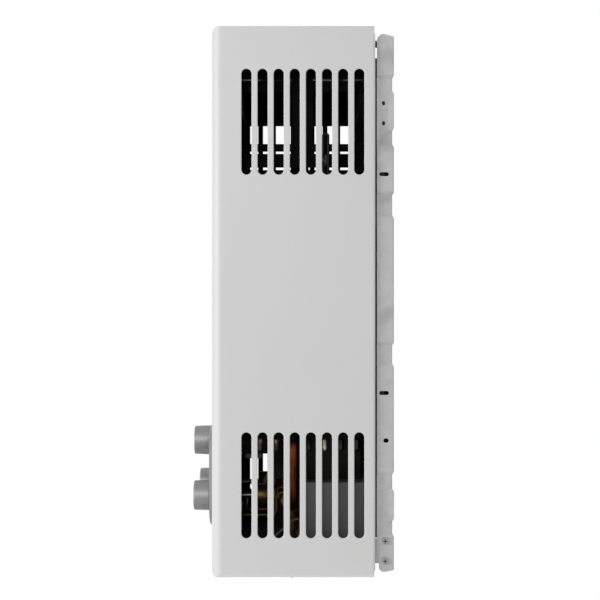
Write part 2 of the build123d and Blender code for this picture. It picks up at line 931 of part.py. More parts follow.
# Flue collar on the draught hood
with BuildPart() as flue_collar:
    collar_length = hood_drop + flue_rise
    rod(Plane.XY.offset(hood_top_z), (0, -works_out), flue_radius, collar_length)
    rod(Plane.XY.offset(hood_top_z), (0, -works_out), flue_radius + flue_flange, flue_sheet)
    rod(
        Plane.XY.offset(hood_top_z - overrun),
        (0, -works_out),
        flue_radius - flue_sheet,
        collar_length + 2 * overrun,
        Mode.SUBTRACT,
    )
save(flue_collar, "flue_collar")

hood_half_x = chamber_half_x + shell_flange_x - hood_bracket_sheet - hood_bracket_inset
hood_half_y = hood_depth / 2
hood_outs = (works_out - hood_half_y, works_out + hood_half_y)
post_outs = (works_out - bracket_post_width / 2, works_out + bracket_post_width / 2)
with BuildPart() as draft_hood:
    block((-hood_half_x, hood_half_x), hood_outs, (hood_bottom_z, hood_top_z))
    # Half-round bead along each side, left out at the bracket's post
    bead_outs = ((hood_outs[0], post_outs[0] - seat_gap), (post_outs[1] + seat_gap, hood_outs[1]))
    bead_z = hood_bottom_z + hood_bead_rise
    for side_x in (-hood_half_x, hood_half_x):
        for low_out, high_out in bead_outs:
            rod(facing(low_out), (side_x, bead_z), hood_bead_radius, high_out - low_out)
    block(
        (-hood_half_x + hood_sheet, hood_half_x - hood_sheet),
        (hood_outs[0] + hood_sheet, hood_outs[1] - hood_sheet),
        (hood_bottom_z - overrun, hood_top_z - hood_sheet),
        Mode.SUBTRACT,
    )
    rod(
        Plane.XY.offset(hood_top_z - overrun),
        (0, -works_out),
        flue_radius - flue_sheet,
        2 * overrun,
        Mode.SUBTRACT,
    )
save(draft_hood, "draft_hood")

# Brackets that carry the hood over the exchanger, with louvres and a wide centre post
with BuildPart() as hood_brackets:
    for side in (-1, 1):
        plate_span = (side * hood_half_x, side * (hood_half_x + hood_bracket_sheet))
        block(plate_span, hood_outs, (shell_top_z, shell_top_z + hood_bracket_height))
        block(plate_span, post_outs, (shell_top_z, hood_bottom_z + hood_post_overlap))
        for rise, height, middle in (
            (louvre_low_rise, louvre_low_height, 0),
            (louvre_high_rise, louvre_high_height, bracket_post_width / 2),
        ):
            louvre_zs = (shell_top_z + rise, shell_top_z + rise + height)
            louvre_end_out = hood_half_y - louvre_end
            block(plate_span, (works_out + middle, works_out + louvre_end_out), louvre_zs, Mode.SUBTRACT)
            block(plate_span, (works_out - louvre_end_out, works_out - middle), louvre_zs, Mode.SUBTRACT)
save(hood_brackets, "hood_brackets")

# Heat exchanger: copper shell, fins and the tube that winds through them
chamber_xs = (-chamber_half_x, chamber_half_x)
chamber_outs = (works_out - chamber_half_y, works_out + chamber_half_y)
tube_hole_radius = pipe_radius + seat_gap
pass_outs = [first_pass_out - step * tube_pitch for step in range(tube_passes)]
electrode_z = shell_bottom_z + electrode_rise
electrode_span = (electrode_x - electrode_plate_margin, sensor_x + electrode_plate_margin)
with BuildPart() as exchanger_shell:
    block(chamber_xs, chamber_outs, (shell_bottom_z, shell_top_z))
    block(
        (-chamber_half_x - shell_flange_x, chamber_half_x + shell_flange_x),
        (chamber_outs[0] - shell_flange_y, chamber_outs[1] + shell_flange_y),
        (shell_top_z - shell_flange_sheet, shell_top_z),
    )
    block(
        (-chamber_half_x + chamber_sheet, chamber_half_x - chamber_sheet),
        (chamber_outs[0] + chamber_sheet, chamber_outs[1] - chamber_sheet),
        (shell_bottom_z - overrun, shell_top_z + overrun),
        Mode.SUBTRACT,
    )
    with BuildSketch(Plane.YZ):
        for out in pass_outs:
            with Locations((-out, tube_z)):
                Circle(tube_hole_radius)
    extrude(amount=half_width, both=True, mode=Mode.SUBTRACT)
    # Sight hole, and holes for the two electrodes, in the front wall
    with BuildSketch(facing(chamber_outs[1] - overrun)):
        with Locations((0, sight_z)):
            Circle(sight_radius)
        with Locations((electrode_x, electrode_z), (sensor_x, electrode_z)):
            Circle(electrode_radius + pass_gap)
    extrude(amount=2 * overrun, mode=Mode.SUBTRACT)
save(exchanger_shell, "exchanger_shell")

with BuildPart() as exchanger_fins:
    fin_room = 2 * (chamber_half_x - chamber_sheet - fin_end_room)
    fin_depth = chamber_depth - 2 * (chamber_sheet + seat_gap)
    fin_z = shell_top_z - fin_drop - fin_height / 2
    with Locations((0, -works_out, fin_z)):
        with GridLocations(fin_room / (fin_count - 1), fin_depth, fin_count, 1):
            Box(fin_sheet, fin_depth, fin_height)
    with BuildSketch(Plane.YZ):
        for out in pass_outs:
            with Locations((-out, tube_z)):
                Circle(tube_hole_radius)
    extrude(amount=half_width, both=True, mode=Mode.SUBTRACT)
save(exchanger_fins, "exchanger_fins")

with BuildPart() as exchanger_tubes:
    bend_x = chamber_half_x + bend_stub + tube_pitch / 2
    stub_x = chamber_half_x + tube_stub
    serpentine = [(stub_x, -pass_outs[0], tube_z)]
    for step in range(tube_passes - 1):
        turn_x = -bend_x if step % 2 == 0 else bend_x
        serpentine.append((turn_x, -pass_outs[step], tube_z))
        serpentine.append((turn_x, -pass_outs[step + 1], tube_z))
    serpentine.append((-stub_x, -pass_outs[-1], tube_z))
    tube(serpentine, tube_pitch / 2 - seat_gap, pipe_radius, pipe_wall)
save(exchanger_tubes, "exchanger_tubes")

# Coil around the combustion chamber, from the cold pipe up to the exchanger's first pass
with BuildPart() as chamber_coil:
    coil_corners = (
        (coil_right_x, valve_out),
        (coil_right_x, coil_front_out),
        (coil_left_x, coil_front_out),
        (coil_left_x, coil_back_out),
        (coil_right_x, coil_back_out),
        (coil_right_x, coil_front_out),
        (coil_left_x, coil_front_out),
        (coil_left_x, coil_back_out),
        (coil_right_x, coil_back_out),
        (coil_right_x, first_pass_out),
    )
    coil_points = [(coil_right_x, -valve_out, coil_start_z)]
    for (corner_x, corner_out), share in zip(coil_corners, coil_rise_shares):
        coil_points.append((corner_x, -corner_out, coil_first_z + share * coil_pitch))
    coil_points.append((coil_right_x, -first_pass_out, tube_z))
    coil_points.append((stub_x + seat_gap, -first_pass_out, tube_z))
    coil_bends = [elbow_bend] + [coil_bend] * (len(coil_points) - 5) + [elbow_bend] * 2
    tube(coil_points, coil_bends, pipe_radius, pipe_wall)
save(chamber_coil, "chamber_coil")

outlet_x = water_x + water_body_radius + water_outlet_length
with BuildPart() as cold_pipe:
    tube(
        [
            (outlet_x + seat_gap, -valve_out, lower_knob_z),
            (coil_right_x, -valve_out, lower_knob_z),
            (coil_right_x, -valve_out, coil_start_z - seat_gap),
        ],
        pipe_bend,
        pipe_radius,
        pipe_wall,
    )
save(cold_pipe, "cold_pipe")

with BuildPart() as hot_pipe:
    tube(
        [
            (-stub_x - seat_gap, -last_pass_out, tube_z),
            (hot_x, -last_pass_out, tube_z),
            (hot_x, -last_pass_out, hot_top_z + seat_gap),
        ],
        elbow_bend,
        pipe_radius,
        pipe_wall,
    )
save(hot_pipe, "hot_pipe")

gas_top_z = lower_knob_z + gas_block_height / 2 + gas_top_boss_height
with BuildPart() as union_nuts:
    hexagon(Plane.YZ.offset(outlet_x), (-valve_out, lower_knob_z), nut_radius, nut_length)
    coil_nut_plane = Plane.XY.offset(coil_start_z - nut_length / 2)
    hexagon(coil_nut_plane, (coil_right_x, -valve_out), nut_radius, nut_length)
    hexagon(Plane.XY.offset(hot_top_z), (hot_x, -last_pass_out), nut_radius, nut_length)
    rod(Plane.YZ.offset(outlet_x), (-valve_out, lower_knob_z), tube_hole_radius, nut_length, Mode.SUBTRACT)
    rod(coil_nut_plane, (coil_right_x, -valve_out), tube_hole_radius, nut_length, Mode.SUBTRACT)
    rod(Plane.XY.offset(hot_top_z), (hot_x, -last_pass_out), tube_hole_radius, nut_length, Mode.SUBTRACT)
save(union_nuts, "union_nuts")

# Supports between the back plate and the exchanger and burner
burner_half_x = chamber_half_x + burner_side_lap
burner_half_y = chamber_half_y + burner_side_lap
upper_support_z = shell_top_z - upper_support_drop
lower_support_z = (burner_bottom_z + burner_top_z) / 2
plate_inner_out = plate_emboss + plate_sheet
with BuildPart() as chassis_supports:
    for support_z, wall_out, plate_out in (
        (upper_support_z, chamber_outs[0], plate_sheet),
        (lower_support_z, works_out - burner_half_y, plate_sheet),
    ):
        for side_x in (-support_x, support_x):
            span = (side_x - support_width / 2, side_x + support_width / 2)
            foot_zs = (support_z - support_foot, support_z + support_foot)
            block(span, (plate_out, plate_out + support_sheet), foot_zs)
            block(span, (plate_out, wall_out), (support_z - support_sheet / 2, support_z + support_sheet / 2))
            block(span, (wall_out - support_sheet, wall_out), foot_zs)
save(chassis_supports, "chassis_supports")

# Overheat thermostat on the right-hand hood bracket
thermostat_out = works_out - thermostat_offset
thermostat_z = shell_top_z + (louvre_low_rise + louvre_low_height + louvre_high_rise) / 2
thermostat_x = hood_half_x + hood_bracket_sheet
with BuildPart() as overheat_thermostat:
    rod(
        Plane.YZ.offset(thermostat_x),
        (-thermostat_out, thermostat_z),
        thermostat_flange_radius,
        thermostat_flange_sheet,
    )
    rod(Plane.YZ.offset(thermostat_x), (-thermostat_out, thermostat_z), thermostat_radius, thermostat_height)
    for side in (-1, 1):
        rod(
            Plane.YZ.offset(thermostat_x + thermostat_height),
            (-thermostat_out, thermostat_z + side * thermostat_pin_spacing / 2),
            thermostat_pin_radius,
            thermostat_pin_length,
        )
save(overheat_thermostat, "overheat_thermostat")

# Burner frame, bars, manifold and nozzles
burner_xs = (-burner_half_x, burner_half_x)
burner_outs = (works_out - burner_half_y, works_out + burner_half_y)
bar_pitch = 2 * (burner_half_x - burner_sheet) / bar_count
manifold_out = works_out + manifold_offset
with BuildPart() as burner_frame:
    block(burner_xs, burner_outs, (burner_bottom_z, burner_top_z))
    block(
        (burner_xs[0] + burner_sheet, burner_xs[1] - burner_sheet),
        (burner_outs[0] + burner_sheet, burner_outs[1] - burner_sheet),
        (burner_bottom_z + burner_sheet, burner_top_z - burner_sheet),
        Mode.SUBTRACT,
    )
    block(
        (burner_xs[0] + burner_lip, burner_xs[1] - burner_lip),
        (burner_outs[0] + burner_lip, burner_outs[1] - burner_lip),
        (burner_bottom_z - overrun, burner_top_z + overrun),
        Mode.SUBTRACT,
    )
    # Air ports in the ends
    frame_port_pitch = 2 * burner_half_y / (frame_port_count + 1)
    with BuildSketch(Plane.YZ):
        with Locations((-works_out, lower_support_z)):
            with GridLocations(frame_port_pitch, burner_height, frame_port_count, 1):
                SlotOverall(frame_port_length, frame_port_width, rotation=90)
    extrude(amount=half_width, both=True, mode=Mode.SUBTRACT)
    # Skirts under the ends, down to just over the battery box, with upright ribs that are half round
    skirt_low_z = floor_z + box_height + skirt_box_gap
    rib_low_z = burner_bottom_z - rib_drop - rib_length
    for side in (-1, 1):
        skirt_span = (side * (burner_half_x - burner_sheet), side * burner_half_x)
        block(skirt_span, burner_outs, (burner_bottom_z - rib_band_height, burner_bottom_z))
        block(skirt_span, (burner_outs[0], burner_outs[1] - skirt_front_gap), (skirt_low_z, burner_bottom_z))
        rib_spot = (side * burner_half_x, -works_out + rib_rear_shift)
        with Locations((*rib_spot, rib_low_z + rib_length / 2)):
            with GridLocations(rib_pitch, rib_pitch, 1, rib_count):
                Cylinder(rib_radius, rib_length - 2 * rib_radius)
        with Locations((*rib_spot, rib_low_z + rib_radius), (*rib_spot, rib_low_z + rib_length - rib_radius)):
            with GridLocations(rib_pitch, rib_pitch, 1, rib_count):
                Sphere(rib_radius)
    block(
        (burner_xs[0] + burner_sheet, burner_xs[1] - burner_sheet),
        (burner_outs[0] - overrun, burner_outs[1] + overrun),
        (skirt_low_z, burner_bottom_z),
        Mode.SUBTRACT,
    )
save(burner_frame, "burner_frame")

bar_bottom_z = burner_bottom_z + burner_sheet
bar_top_z = burner_top_z - bar_top_gap
bar_length = 2 * (burner_half_y - burner_sheet - seat_gap)
with BuildPart() as burner_bars:
    with GridLocations(bar_pitch, bar_pitch, bar_count, 1):
        with Locations((0, -works_out, bar_top_z - bar_head_height / 2)):
            Box(bar_width, bar_length, bar_head_height)
        with Locations((0, -works_out, (bar_bottom_z + bar_top_z) / 2)):
            Box(bar_web_width, bar_length, bar_top_z - bar_bottom_z)
        with Locations((0, -works_out, bar_bottom_z + bar_throat_radius)):
            Cylinder(bar_throat_radius, bar_length, rotation=(90, 0, 0))
        # Mixing tube below and gas chamber under the ports are hollow
        with Locations((0, -works_out, bar_bottom_z + bar_throat_radius)):
            Cylinder(bar_throat_radius - bar_sheet, bar_length, rotation=(90, 0, 0), mode=Mode.SUBTRACT)
        with Locations((0, -works_out, bar_top_z - bar_head_height / 2)):
            Box(
                bar_width - 2 * bar_sheet,
                bar_length - 2 * bar_sheet,
                bar_head_height - 2 * bar_sheet,
                mode=Mode.SUBTRACT,
            )
    with BuildSketch(Plane.XY.offset(bar_top_z)):
        with Locations((0, -works_out)):
            with GridLocations(bar_pitch, bar_length / (port_count + 1), bar_count, port_count):
                Rectangle(port_length, port_width)
    extrude(amount=-port_depth, mode=Mode.SUBTRACT)
save(burner_bars, "burner_bars")

manifold_half_x = bar_pitch * bar_count / 2
with BuildPart() as gas_manifold:
    block(
        (-manifold_half_x, manifold_half_x),
        (manifold_out - manifold_depth / 2, manifold_out + manifold_depth / 2),
        (manifold_top_z - manifold_height, manifold_top_z),
    )
    fillet(gas_manifold.edges().filter_by(Axis.X), manifold_edge_radius)
save(gas_manifold, "gas_manifold")

with BuildPart() as gas_nozzles:
    with BuildSketch(Plane.XY.offset(manifold_top_z)):
        with Locations((0, -manifold_out)):
            with GridLocations(bar_pitch, bar_pitch, bar_count, 1):
                RegularPolygon(nozzle_radius, 6)
    extrude(amount=nozzle_hex_height)
    with BuildSketch(Plane.XY.offset(manifold_top_z)):
        with Locations((0, -manifold_out)):
            with GridLocations(bar_pitch, bar_pitch, bar_count, 1):
                Circle(nozzle_tip_radius)
    extrude(amount=nozzle_height)
    with BuildSketch(Plane.XY.offset(manifold_top_z)):
        with Locations((0, -manifold_out)):
            with GridLocations(bar_pitch, bar_pitch, bar_count, 1):
                Circle(nozzle_jet_radius)
    extrude(amount=nozzle_height, mode=Mode.SUBTRACT)
save(gas_nozzles, "gas_nozzles")

# Season valve on the manifold, turned by the upper knob
stem_bore_radius = stem_radius + run_gap
with BuildPart() as season_valve:
    season_back_out = manifold_out + manifold_depth / 2
    rod(facing(season_back_out), (0, upper_knob_z), season_valve_radius, season_valve_length)
    chamfer(season_valve.faces().sort_by(Axis.Y)[0].edges(), stem_stop_gap)
    season_seat_plane = facing(season_boss_out - season_seat)
    rod(season_seat_plane, (0, upper_knob_z), stem_bore_radius, season_seat, Mode.SUBTRACT)
save(season_valve, "season_valve")

# Electrodes on their bracket at the front of the chamber
with BuildPart() as electrode_bracket:
    plate_outs = (chamber_outs[1], chamber_outs[1] + electrode_plate_sheet)
    block(electrode_span, plate_outs, (shell_bottom_z, shell_bottom_z + electrode_plate_height))
    with BuildSketch(facing(chamber_outs[1] - overrun)):
        with Locations((electrode_x, electrode_z), (sensor_x, electrode_z)):
            Circle(electrode_radius + seat_gap)
    extrude(amount=2 * overrun, mode=Mode.SUBTRACT)
save(electrode_bracket, "electrode_bracket")


def electrode(spot_x, wire_length):
    front_out = chamber_outs[1] + electrode_back
    tip_out = chamber_outs[1] - electrode_front
    rod(facing(tip_out), (spot_x, electrode_z), electrode_radius, front_out - tip_out)
    rod(facing(tip_out - wire_length), (spot_x, electrode_z), electrode_wire_radius, wire_length)


with BuildPart() as ignition_electrode:
    electrode(electrode_x, electrode_wire_length)
save(ignition_electrode, "ignition_electrode")

with BuildPart() as flame_sensor:
    electrode(sensor_x, 2 * electrode_wire_length)
save(flame_sensor, "flame_sensor")

# Gas valve: block with bosses for the stem, riser, inlet, push rod and solenoid
gas_right_x = gas_x + gas_block_width / 2
gas_left_x = gas_x - gas_block_width / 2
rod_face_x = gas_right_x + rod_boss_length
solenoid_face_x = gas_left_x - solenoid_boss_length
gas_bottom_z = lower_knob_z - gas_block_height / 2 - gas_bottom_boss_height
rod_bore_radius = rod_radius + run_gap
plunger_bore_radius = plunger_radius + run_gap
with BuildPart() as gas_valve_body:
    with Locations((gas_x, -valve_out, lower_knob_z)):
        Box(gas_block_width, gas_block_depth, gas_block_height)
    fillet(gas_valve_body.edges(), gas_block_radius)
    rod(facing(valve_out), (gas_x, lower_knob_z), stem_boss_radius, gas_boss_out - valve_out)
    rod(Plane.XY.offset(lower_knob_z), (gas_x, -valve_out), gas_top_boss_radius, gas_top_z - lower_knob_z)
    gas_boss_height = lower_knob_z - gas_bottom_z
    rod(Plane.XY.offset(gas_bottom_z), (gas_x, -valve_out), gas_bottom_boss_radius, gas_boss_height)
    rod(Plane.YZ.offset(gas_x), (-valve_out, lower_knob_z), rod_boss_radius, rod_face_x - gas_x)
    rod(Plane.YZ.offset(gas_x), (-valve_out, lower_knob_z), solenoid_radius, solenoid_face_x - gas_x)
    rod(facing(gas_boss_out - stem_seat), (gas_x, lower_knob_z), stem_bore_radius, stem_seat, Mode.SUBTRACT)
    rod(
        Plane.YZ.offset(rod_face_x - rod_depth - 2 * rod_travel),
        (-valve_out, lower_knob_z),
        rod_bore_radius,
        rod_depth + 2 * rod_travel,
        Mode.SUBTRACT,
    )
    rod(
        Plane.YZ.offset(solenoid_face_x),
        (-valve_out, lower_knob_z),
        plunger_bore_radius,
        2 * plunger_inset,
        Mode.SUBTRACT,
    )
    rod(
        Plane.XY.offset(gas_bottom_z),
        (gas_x, -valve_out),
        nipple_bore_radius,
        gas_bottom_boss_height,
        Mode.SUBTRACT,
    )
save(gas_valve_body, "gas_valve_body")

with BuildPart() as gas_riser:
    manifold_rear_out = manifold_out - manifold_depth / 2
    tube(
        [
            (gas_x, -valve_out, gas_top_z),
            (gas_x, -valve_out, upper_knob_z),
            (gas_x, -manifold_rear_out, upper_knob_z),
        ],
        gas_riser_bend,
        gas_riser_radius,
        pipe_wall,
    )
save(gas_riser, "gas_riser")

with BuildPart() as gas_solenoid:
    solenoid_plane = Plane.YZ.offset(solenoid_face_x)
    rod(solenoid_plane, (-valve_out, lower_knob_z), solenoid_cap_radius, -solenoid_cap_length)
    rod(Plane.YZ.offset(solenoid_face_x), (-valve_out, lower_knob_z), solenoid_radius, -solenoid_length)
    fillet(gas_solenoid.faces().sort_by(Axis.X)[0].edges(), solenoid_cap_length / 2)
    rod(
        Plane.YZ.offset(solenoid_face_x),
        (-valve_out, lower_knob_z),
        plunger_bore_radius,
        -plunger_length - plunger_travel,
        Mode.SUBTRACT,
    )
save(gas_solenoid, "gas_solenoid")

with BuildPart() as solenoid_plunger:
    plunger_x = solenoid_face_x + plunger_inset
    rod(Plane.YZ.offset(plunger_x), (-valve_out, lower_knob_z), plunger_radius, -plunger_length)
save(solenoid_plunger, "solenoid_plunger")

# Water valve with one half of the diaphragm housing on its left
neck_x = water_x - water_body_radius
housing_x = neck_x - housing_neck_length
diaphragm_x = housing_x - housing_half
cover_x = diaphragm_x - diaphragm_thickness
cover_face_x = cover_x - cover_half
neck_face_x = cover_face_x - cover_neck_length
water_bottom_z = lower_knob_z - water_body_height / 2 - gas_bottom_boss_height
drain_boss_z = lower_knob_z - housing_radius - drain_boss_height
diaphragm_screw_radius = screw_radius + seat_gap


def screw_ring(plane, radius):
    with BuildSketch(plane) as ring:
        with Locations((-valve_out, lower_knob_z)):
            with PolarLocations(diaphragm_screw_circle, diaphragm_screw_count):
                Circle(radius)
    return ring.sketch


with BuildPart() as water_valve_body:
    body_low_z = lower_knob_z - water_body_height / 2
    rod(Plane.XY.offset(body_low_z), (water_x, -valve_out), water_body_radius, water_body_height)
    fillet(water_valve_body.faces().sort_by(Axis.Z)[-1].edges(), water_body_radius / 4)
    water_foot_plane = Plane.XY.offset(water_bottom_z)
    rod(water_foot_plane, (water_x, -valve_out), gas_bottom_boss_radius, gas_bottom_boss_height)
    rod(facing(valve_out), (water_x, lower_knob_z), stem_boss_radius, gas_boss_out - valve_out)
    rod(Plane.YZ.offset(water_x), (-valve_out, lower_knob_z), water_outlet_radius, outlet_x - water_x)
    rod(Plane.YZ.offset(housing_x), (-valve_out, lower_knob_z), housing_neck_radius, water_x - housing_x)
    rod(Plane.YZ.offset(diaphragm_x), (-valve_out, lower_knob_z), housing_radius, housing_half)
    rod(
        Plane.XY.offset(drain_boss_z),
        (drain_x, -valve_out),
        drain_boss_radius,
        drain_boss_height + housing_radius - housing_cavity_radius,
    )
    rod(
        Plane.YZ.offset(diaphragm_x),
        (-valve_out, lower_knob_z),
        housing_cavity_radius,
        housing_cavity_depth,
        Mode.SUBTRACT,
    )
    rod(facing(gas_boss_out - stem_seat), (water_x, lower_knob_z), stem_bore_radius, stem_seat, Mode.SUBTRACT)
    rod(
        Plane.XY.offset(drain_boss_z),
        (drain_x, -valve_out),
        drain_stem_radius + run_gap,
        drain_stem_length + stem_stop_gap,
        Mode.SUBTRACT,
    )
    rod(
        Plane.XY.offset(water_bottom_z),
        (water_x, -valve_out),
        nipple_bore_radius,
        gas_bottom_boss_height,
        Mode.SUBTRACT,
    )
    extrude(
        screw_ring(Plane.YZ.offset(diaphragm_x), diaphragm_screw_radius),
        amount=housing_half,
        mode=Mode.SUBTRACT,
    )
save(water_valve_body, "water_valve_body")

with BuildPart() as diaphragm:
    rod(Plane.YZ.offset(cover_x), (-valve_out, lower_knob_z), housing_radius, diaphragm_thickness)
    extrude(
        screw_ring(Plane.YZ.offset(cover_x), diaphragm_screw_radius),
        amount=diaphragm_thickness,
        mode=Mode.SUBTRACT,
    )
save(diaphragm, "diaphragm")

with BuildPart() as diaphragm_cover:
    rod(Plane.YZ.offset(cover_face_x), (-valve_out, lower_knob_z), housing_radius, cover_half)
    chamfer(diaphragm_cover.faces().sort_by(Axis.X)[0].edges(), stem_stop_gap)
    rod(Plane.YZ.offset(neck_face_x), (-valve_out, lower_knob_z), cover_neck_radius, cover_neck_length)
    rod(
        Plane.YZ.offset(cover_x - cover_cavity_depth),
        (-valve_out, lower_knob_z),
        housing_cavity_radius,
        cover_cavity_depth,
        Mode.SUBTRACT,
    )
    rod(
        Plane.YZ.offset(neck_face_x),
        (-valve_out, lower_knob_z),
        rod_bore_radius,
        cover_half + cover_neck_length,
        Mode.SUBTRACT,
    )
    extrude(
        screw_ring(Plane.YZ.offset(cover_face_x), diaphragm_screw_radius),
        amount=cover_half,
        mode=Mode.SUBTRACT,
    )
save(diaphragm_cover, "diaphragm_cover")

with BuildPart() as diaphragm_screws:
    extrude(
        screw_ring(Plane.YZ.offset(cover_face_x), screw_radius),
        amount=cover_half + diaphragm_thickness + housing_half,
    )
    extrude(screw_ring(Plane.YZ.offset(cover_face_x), screw_head_radius), amount=-screw_head_height)
save(diaphragm_screws, "diaphragm_screws")

# Push rod that the diaphragm drives towards the gas valve, and its return spring
cone_x = neck_face_x - rod_cone_gap
collar_x = cone_x - rod_cone_length
with BuildPart() as push_rod:
    rod_end_x = rod_face_x - rod_depth
    plate_x = cover_x - air_gap
    rod(Plane.YZ.offset(rod_end_x), (-valve_out, lower_knob_z), rod_radius, plate_x - rod_end_x)
    rod(Plane.YZ.offset(plate_x), (-valve_out, lower_knob_z), rod_plate_radius, -rod_plate_thickness)
    rod(Plane.YZ.offset(collar_x), (-valve_out, lower_knob_z), rod_collar_radius, -rod_collar_length)
    with BuildSketch(Plane.YZ.offset(collar_x)) as cone_foot:
        with Locations((-valve_out, lower_knob_z)):
            Circle(rod_collar_radius)
    with BuildSketch(Plane.YZ.offset(cone_x)) as cone_end:
        with Locations((-valve_out, lower_knob_z)):
            Circle(rod_cone_end_radius)
    loft([cone_foot.sketch, cone_end.sketch])
save(push_rod, "push_rod")

with BuildPart() as push_rod_spring:
    spring_low_x = rod_face_x + seat_gap + spring_wire_radius
    spring_high_x = collar_x - rod_collar_length - seat_gap - spring_wire_radius
    spring_pitch = (spring_high_x - spring_low_x) / spring_turns
    with BuildLine() as spring_line:
        Helix(
            spring_pitch,
            spring_high_x - spring_low_x,
            spring_radius,
            center=(spring_low_x, -valve_out, lower_knob_z),
            direction=(1, 0, 0),
        )
    with BuildSketch(Plane(origin=spring_line.line @ 0, z_dir=spring_line.line % 0)):
        Circle(spring_wire_radius)
    sweep(path=spring_line.line)
save(push_rod_spring, "push_rod_spring")

# Micro switch on an arm from the gas valve, and its lever over the push rod's collar
switch_low_z = lower_knob_z + switch_rise
switch_x = rod_face_x + air_gap
lever_z = switch_low_z - lever_drop
pivot_x = switch_x + lever_drop
pivot_z = lever_z - lever_sheet / 2
with BuildPart() as micro_switch:
    switch_outs = (valve_out - switch_depth / 2, valve_out + switch_depth / 2)
    block((switch_x, switch_x + switch_length), switch_outs, (switch_low_z, switch_low_z + switch_height))
    arm_zs = (switch_low_z + switch_height, switch_low_z + switch_height + switch_arm_sheet)
    block((gas_right_x, switch_x + switch_length), switch_outs, arm_zs)
    for side in (-1, 1):
        ear_in_out = valve_out + side * (lever_width / 2 + air_gap)
        ear_outs = (ear_in_out, valve_out + side * switch_depth / 2)
        block((switch_x, switch_x + 2 * lever_drop), ear_outs, (lever_z - lever_drop, switch_low_z))
    rod(facing(switch_outs[0]), (pivot_x, pivot_z), lever_pin_radius + run_gap, switch_depth, Mode.SUBTRACT)
save(micro_switch, "micro_switch")

with BuildPart() as switch_lever:
    lever_outs = (valve_out - lever_width / 2, valve_out + lever_width / 2)
    follower_x = cone_x - follower_back
    cone_slope = (rod_collar_radius - rod_cone_end_radius) / rod_cone_length
    follower_z = lower_knob_z + rod_cone_end_radius + cone_slope * follower_back + air_gap
    block((pivot_x, follower_x), lever_outs, (lever_z - lever_sheet, lever_z))
    block((follower_x - lever_sheet, follower_x), lever_outs, (follower_z, lever_z))
    rod(facing(lever_outs[0]), (pivot_x, pivot_z), 2 * lever_pin_radius, lever_width)
    rod(facing(switch_outs[0]), (pivot_x, pivot_z), lever_pin_radius, switch_depth)
save(switch_lever, "switch_lever")

# Drain plug under the diaphragm housing
with BuildPart() as drain_plug:
    knob_top_z = -half_height - drain_knob_drop
    rod(Plane.XY.offset(drain_boss_z - air_gap), (drain_x, -valve_out), drain_stem_radius, drain_stem_length)
    rod(
        Plane.XY.offset(drain_boss_z - air_gap),
        (drain_x, -valve_out),
        drain_body_radius,
        knob_top_z - drain_boss_z + air_gap,
    )
    rod(Plane.XY.offset(knob_top_z), (drain_x, -valve_out), drain_knob_radius, -drain_knob_length)
    with BuildSketch(Plane.XY.offset(knob_top_z)):
        with Locations((drain_x, -valve_out)):
            with PolarLocations(drain_knob_radius, drain_grip_count):
                Circle(drain_grip_radius)
    extrude(amount=-drain_knob_length, mode=Mode.SUBTRACT)
save(drain_plug, "drain_plug")


# Threaded nipples that stand on the bottom plate and reach through it
def nipple(part, spot, top_z):
    low_z = -half_height - thread_drop
    thread_top_z = bottom_low_z - thread_relief
    rod(Plane.XY.offset(low_z), spot, thread_radius, thread_top_z - low_z)
    chamfer(part.faces().sort_by(Axis.Z)[0].edges(), thread_chamfer)
    hexagon(Plane.XY.offset(floor_z), spot, nipple_collar_radius, nipple_collar_height)
    rod(Plane.XY.offset(thread_top_z), spot, nipple_neck_radius, top_z - thread_top_z)
    rod(Plane.XY.offset(low_z), spot, nipple_bore_radius, top_z - low_z, Mode.SUBTRACT)


with BuildPart() as gas_inlet_nipple:
    nipple(gas_inlet_nipple, (gas_x, -valve_out), gas_bottom_z)
save(gas_inlet_nipple, "gas_inlet_nipple")

with BuildPart() as cold_inlet_nipple:
    nipple(cold_inlet_nipple, (water_x, -valve_out), water_bottom_z)
save(cold_inlet_nipple, "cold_inlet_nipple")

with BuildPart() as hot_outlet_nipple:
    nipple(hot_outlet_nipple, (hot_x, -last_pass_out), hot_top_z)
save(hot_outlet_nipple, "hot_outlet_nipple")

with BuildPart() as inlet_strainer:
    strainer_z = -half_height
    rod(Plane.XY.offset(strainer_z), (water_x, -valve_out), strainer_radius, strainer_length)
    rod(
        Plane.XY.offset(strainer_z),
        (water_x, -valve_out),
        strainer_radius - strainer_wall,
        strainer_length - strainer_wall,
        Mode.SUBTRACT,
    )
    with BuildSketch(Plane.XY.offset(strainer_z + strainer_length / 4)):
        with Locations((water_x, -valve_out)):
            with PolarLocations(strainer_radius, strainer_slot_count):
                Rectangle(overrun, strainer_slot_width)
    extrude(amount=strainer_length / 2, mode=Mode.SUBTRACT)
save(inlet_strainer, "inlet_strainer")

# Battery box on the bottom plate, its cells, contacts and door
cell_low_z = floor_z + cell_lift
ceiling_z = cell_low_z + cell_length + contact_sheet
box_top_z = floor_z + box_height
inner_xs = (box_left + box_wall, box_right - box_wall)
inner_outs = (box_rear_out + box_wall, box_front_out - box_wall)
cell_spots = ((box_x, -box_out - cell_radius - cell_gap / 2), (box_x, -box_out + cell_radius + cell_gap / 2))
with BuildPart() as battery_box:
    block((box_left, box_right), (box_rear_out, box_front_out), (floor_z, box_top_z))
    fillet(battery_box.edges().filter_by(Axis.Z), box_wall)
    fillet(battery_box.faces().sort_by(Axis.Z)[-1].edges(), box_wall / 2)
    block(inner_xs, inner_outs, (floor_z - overrun, ceiling_z), Mode.SUBTRACT)
    block(
        (box_left - overrun, box_right - box_wall),
        inner_outs,
        (ceiling_z + ceiling_thickness, box_top_z - box_wall),
        Mode.SUBTRACT,
    )
save(battery_box, "battery_box")

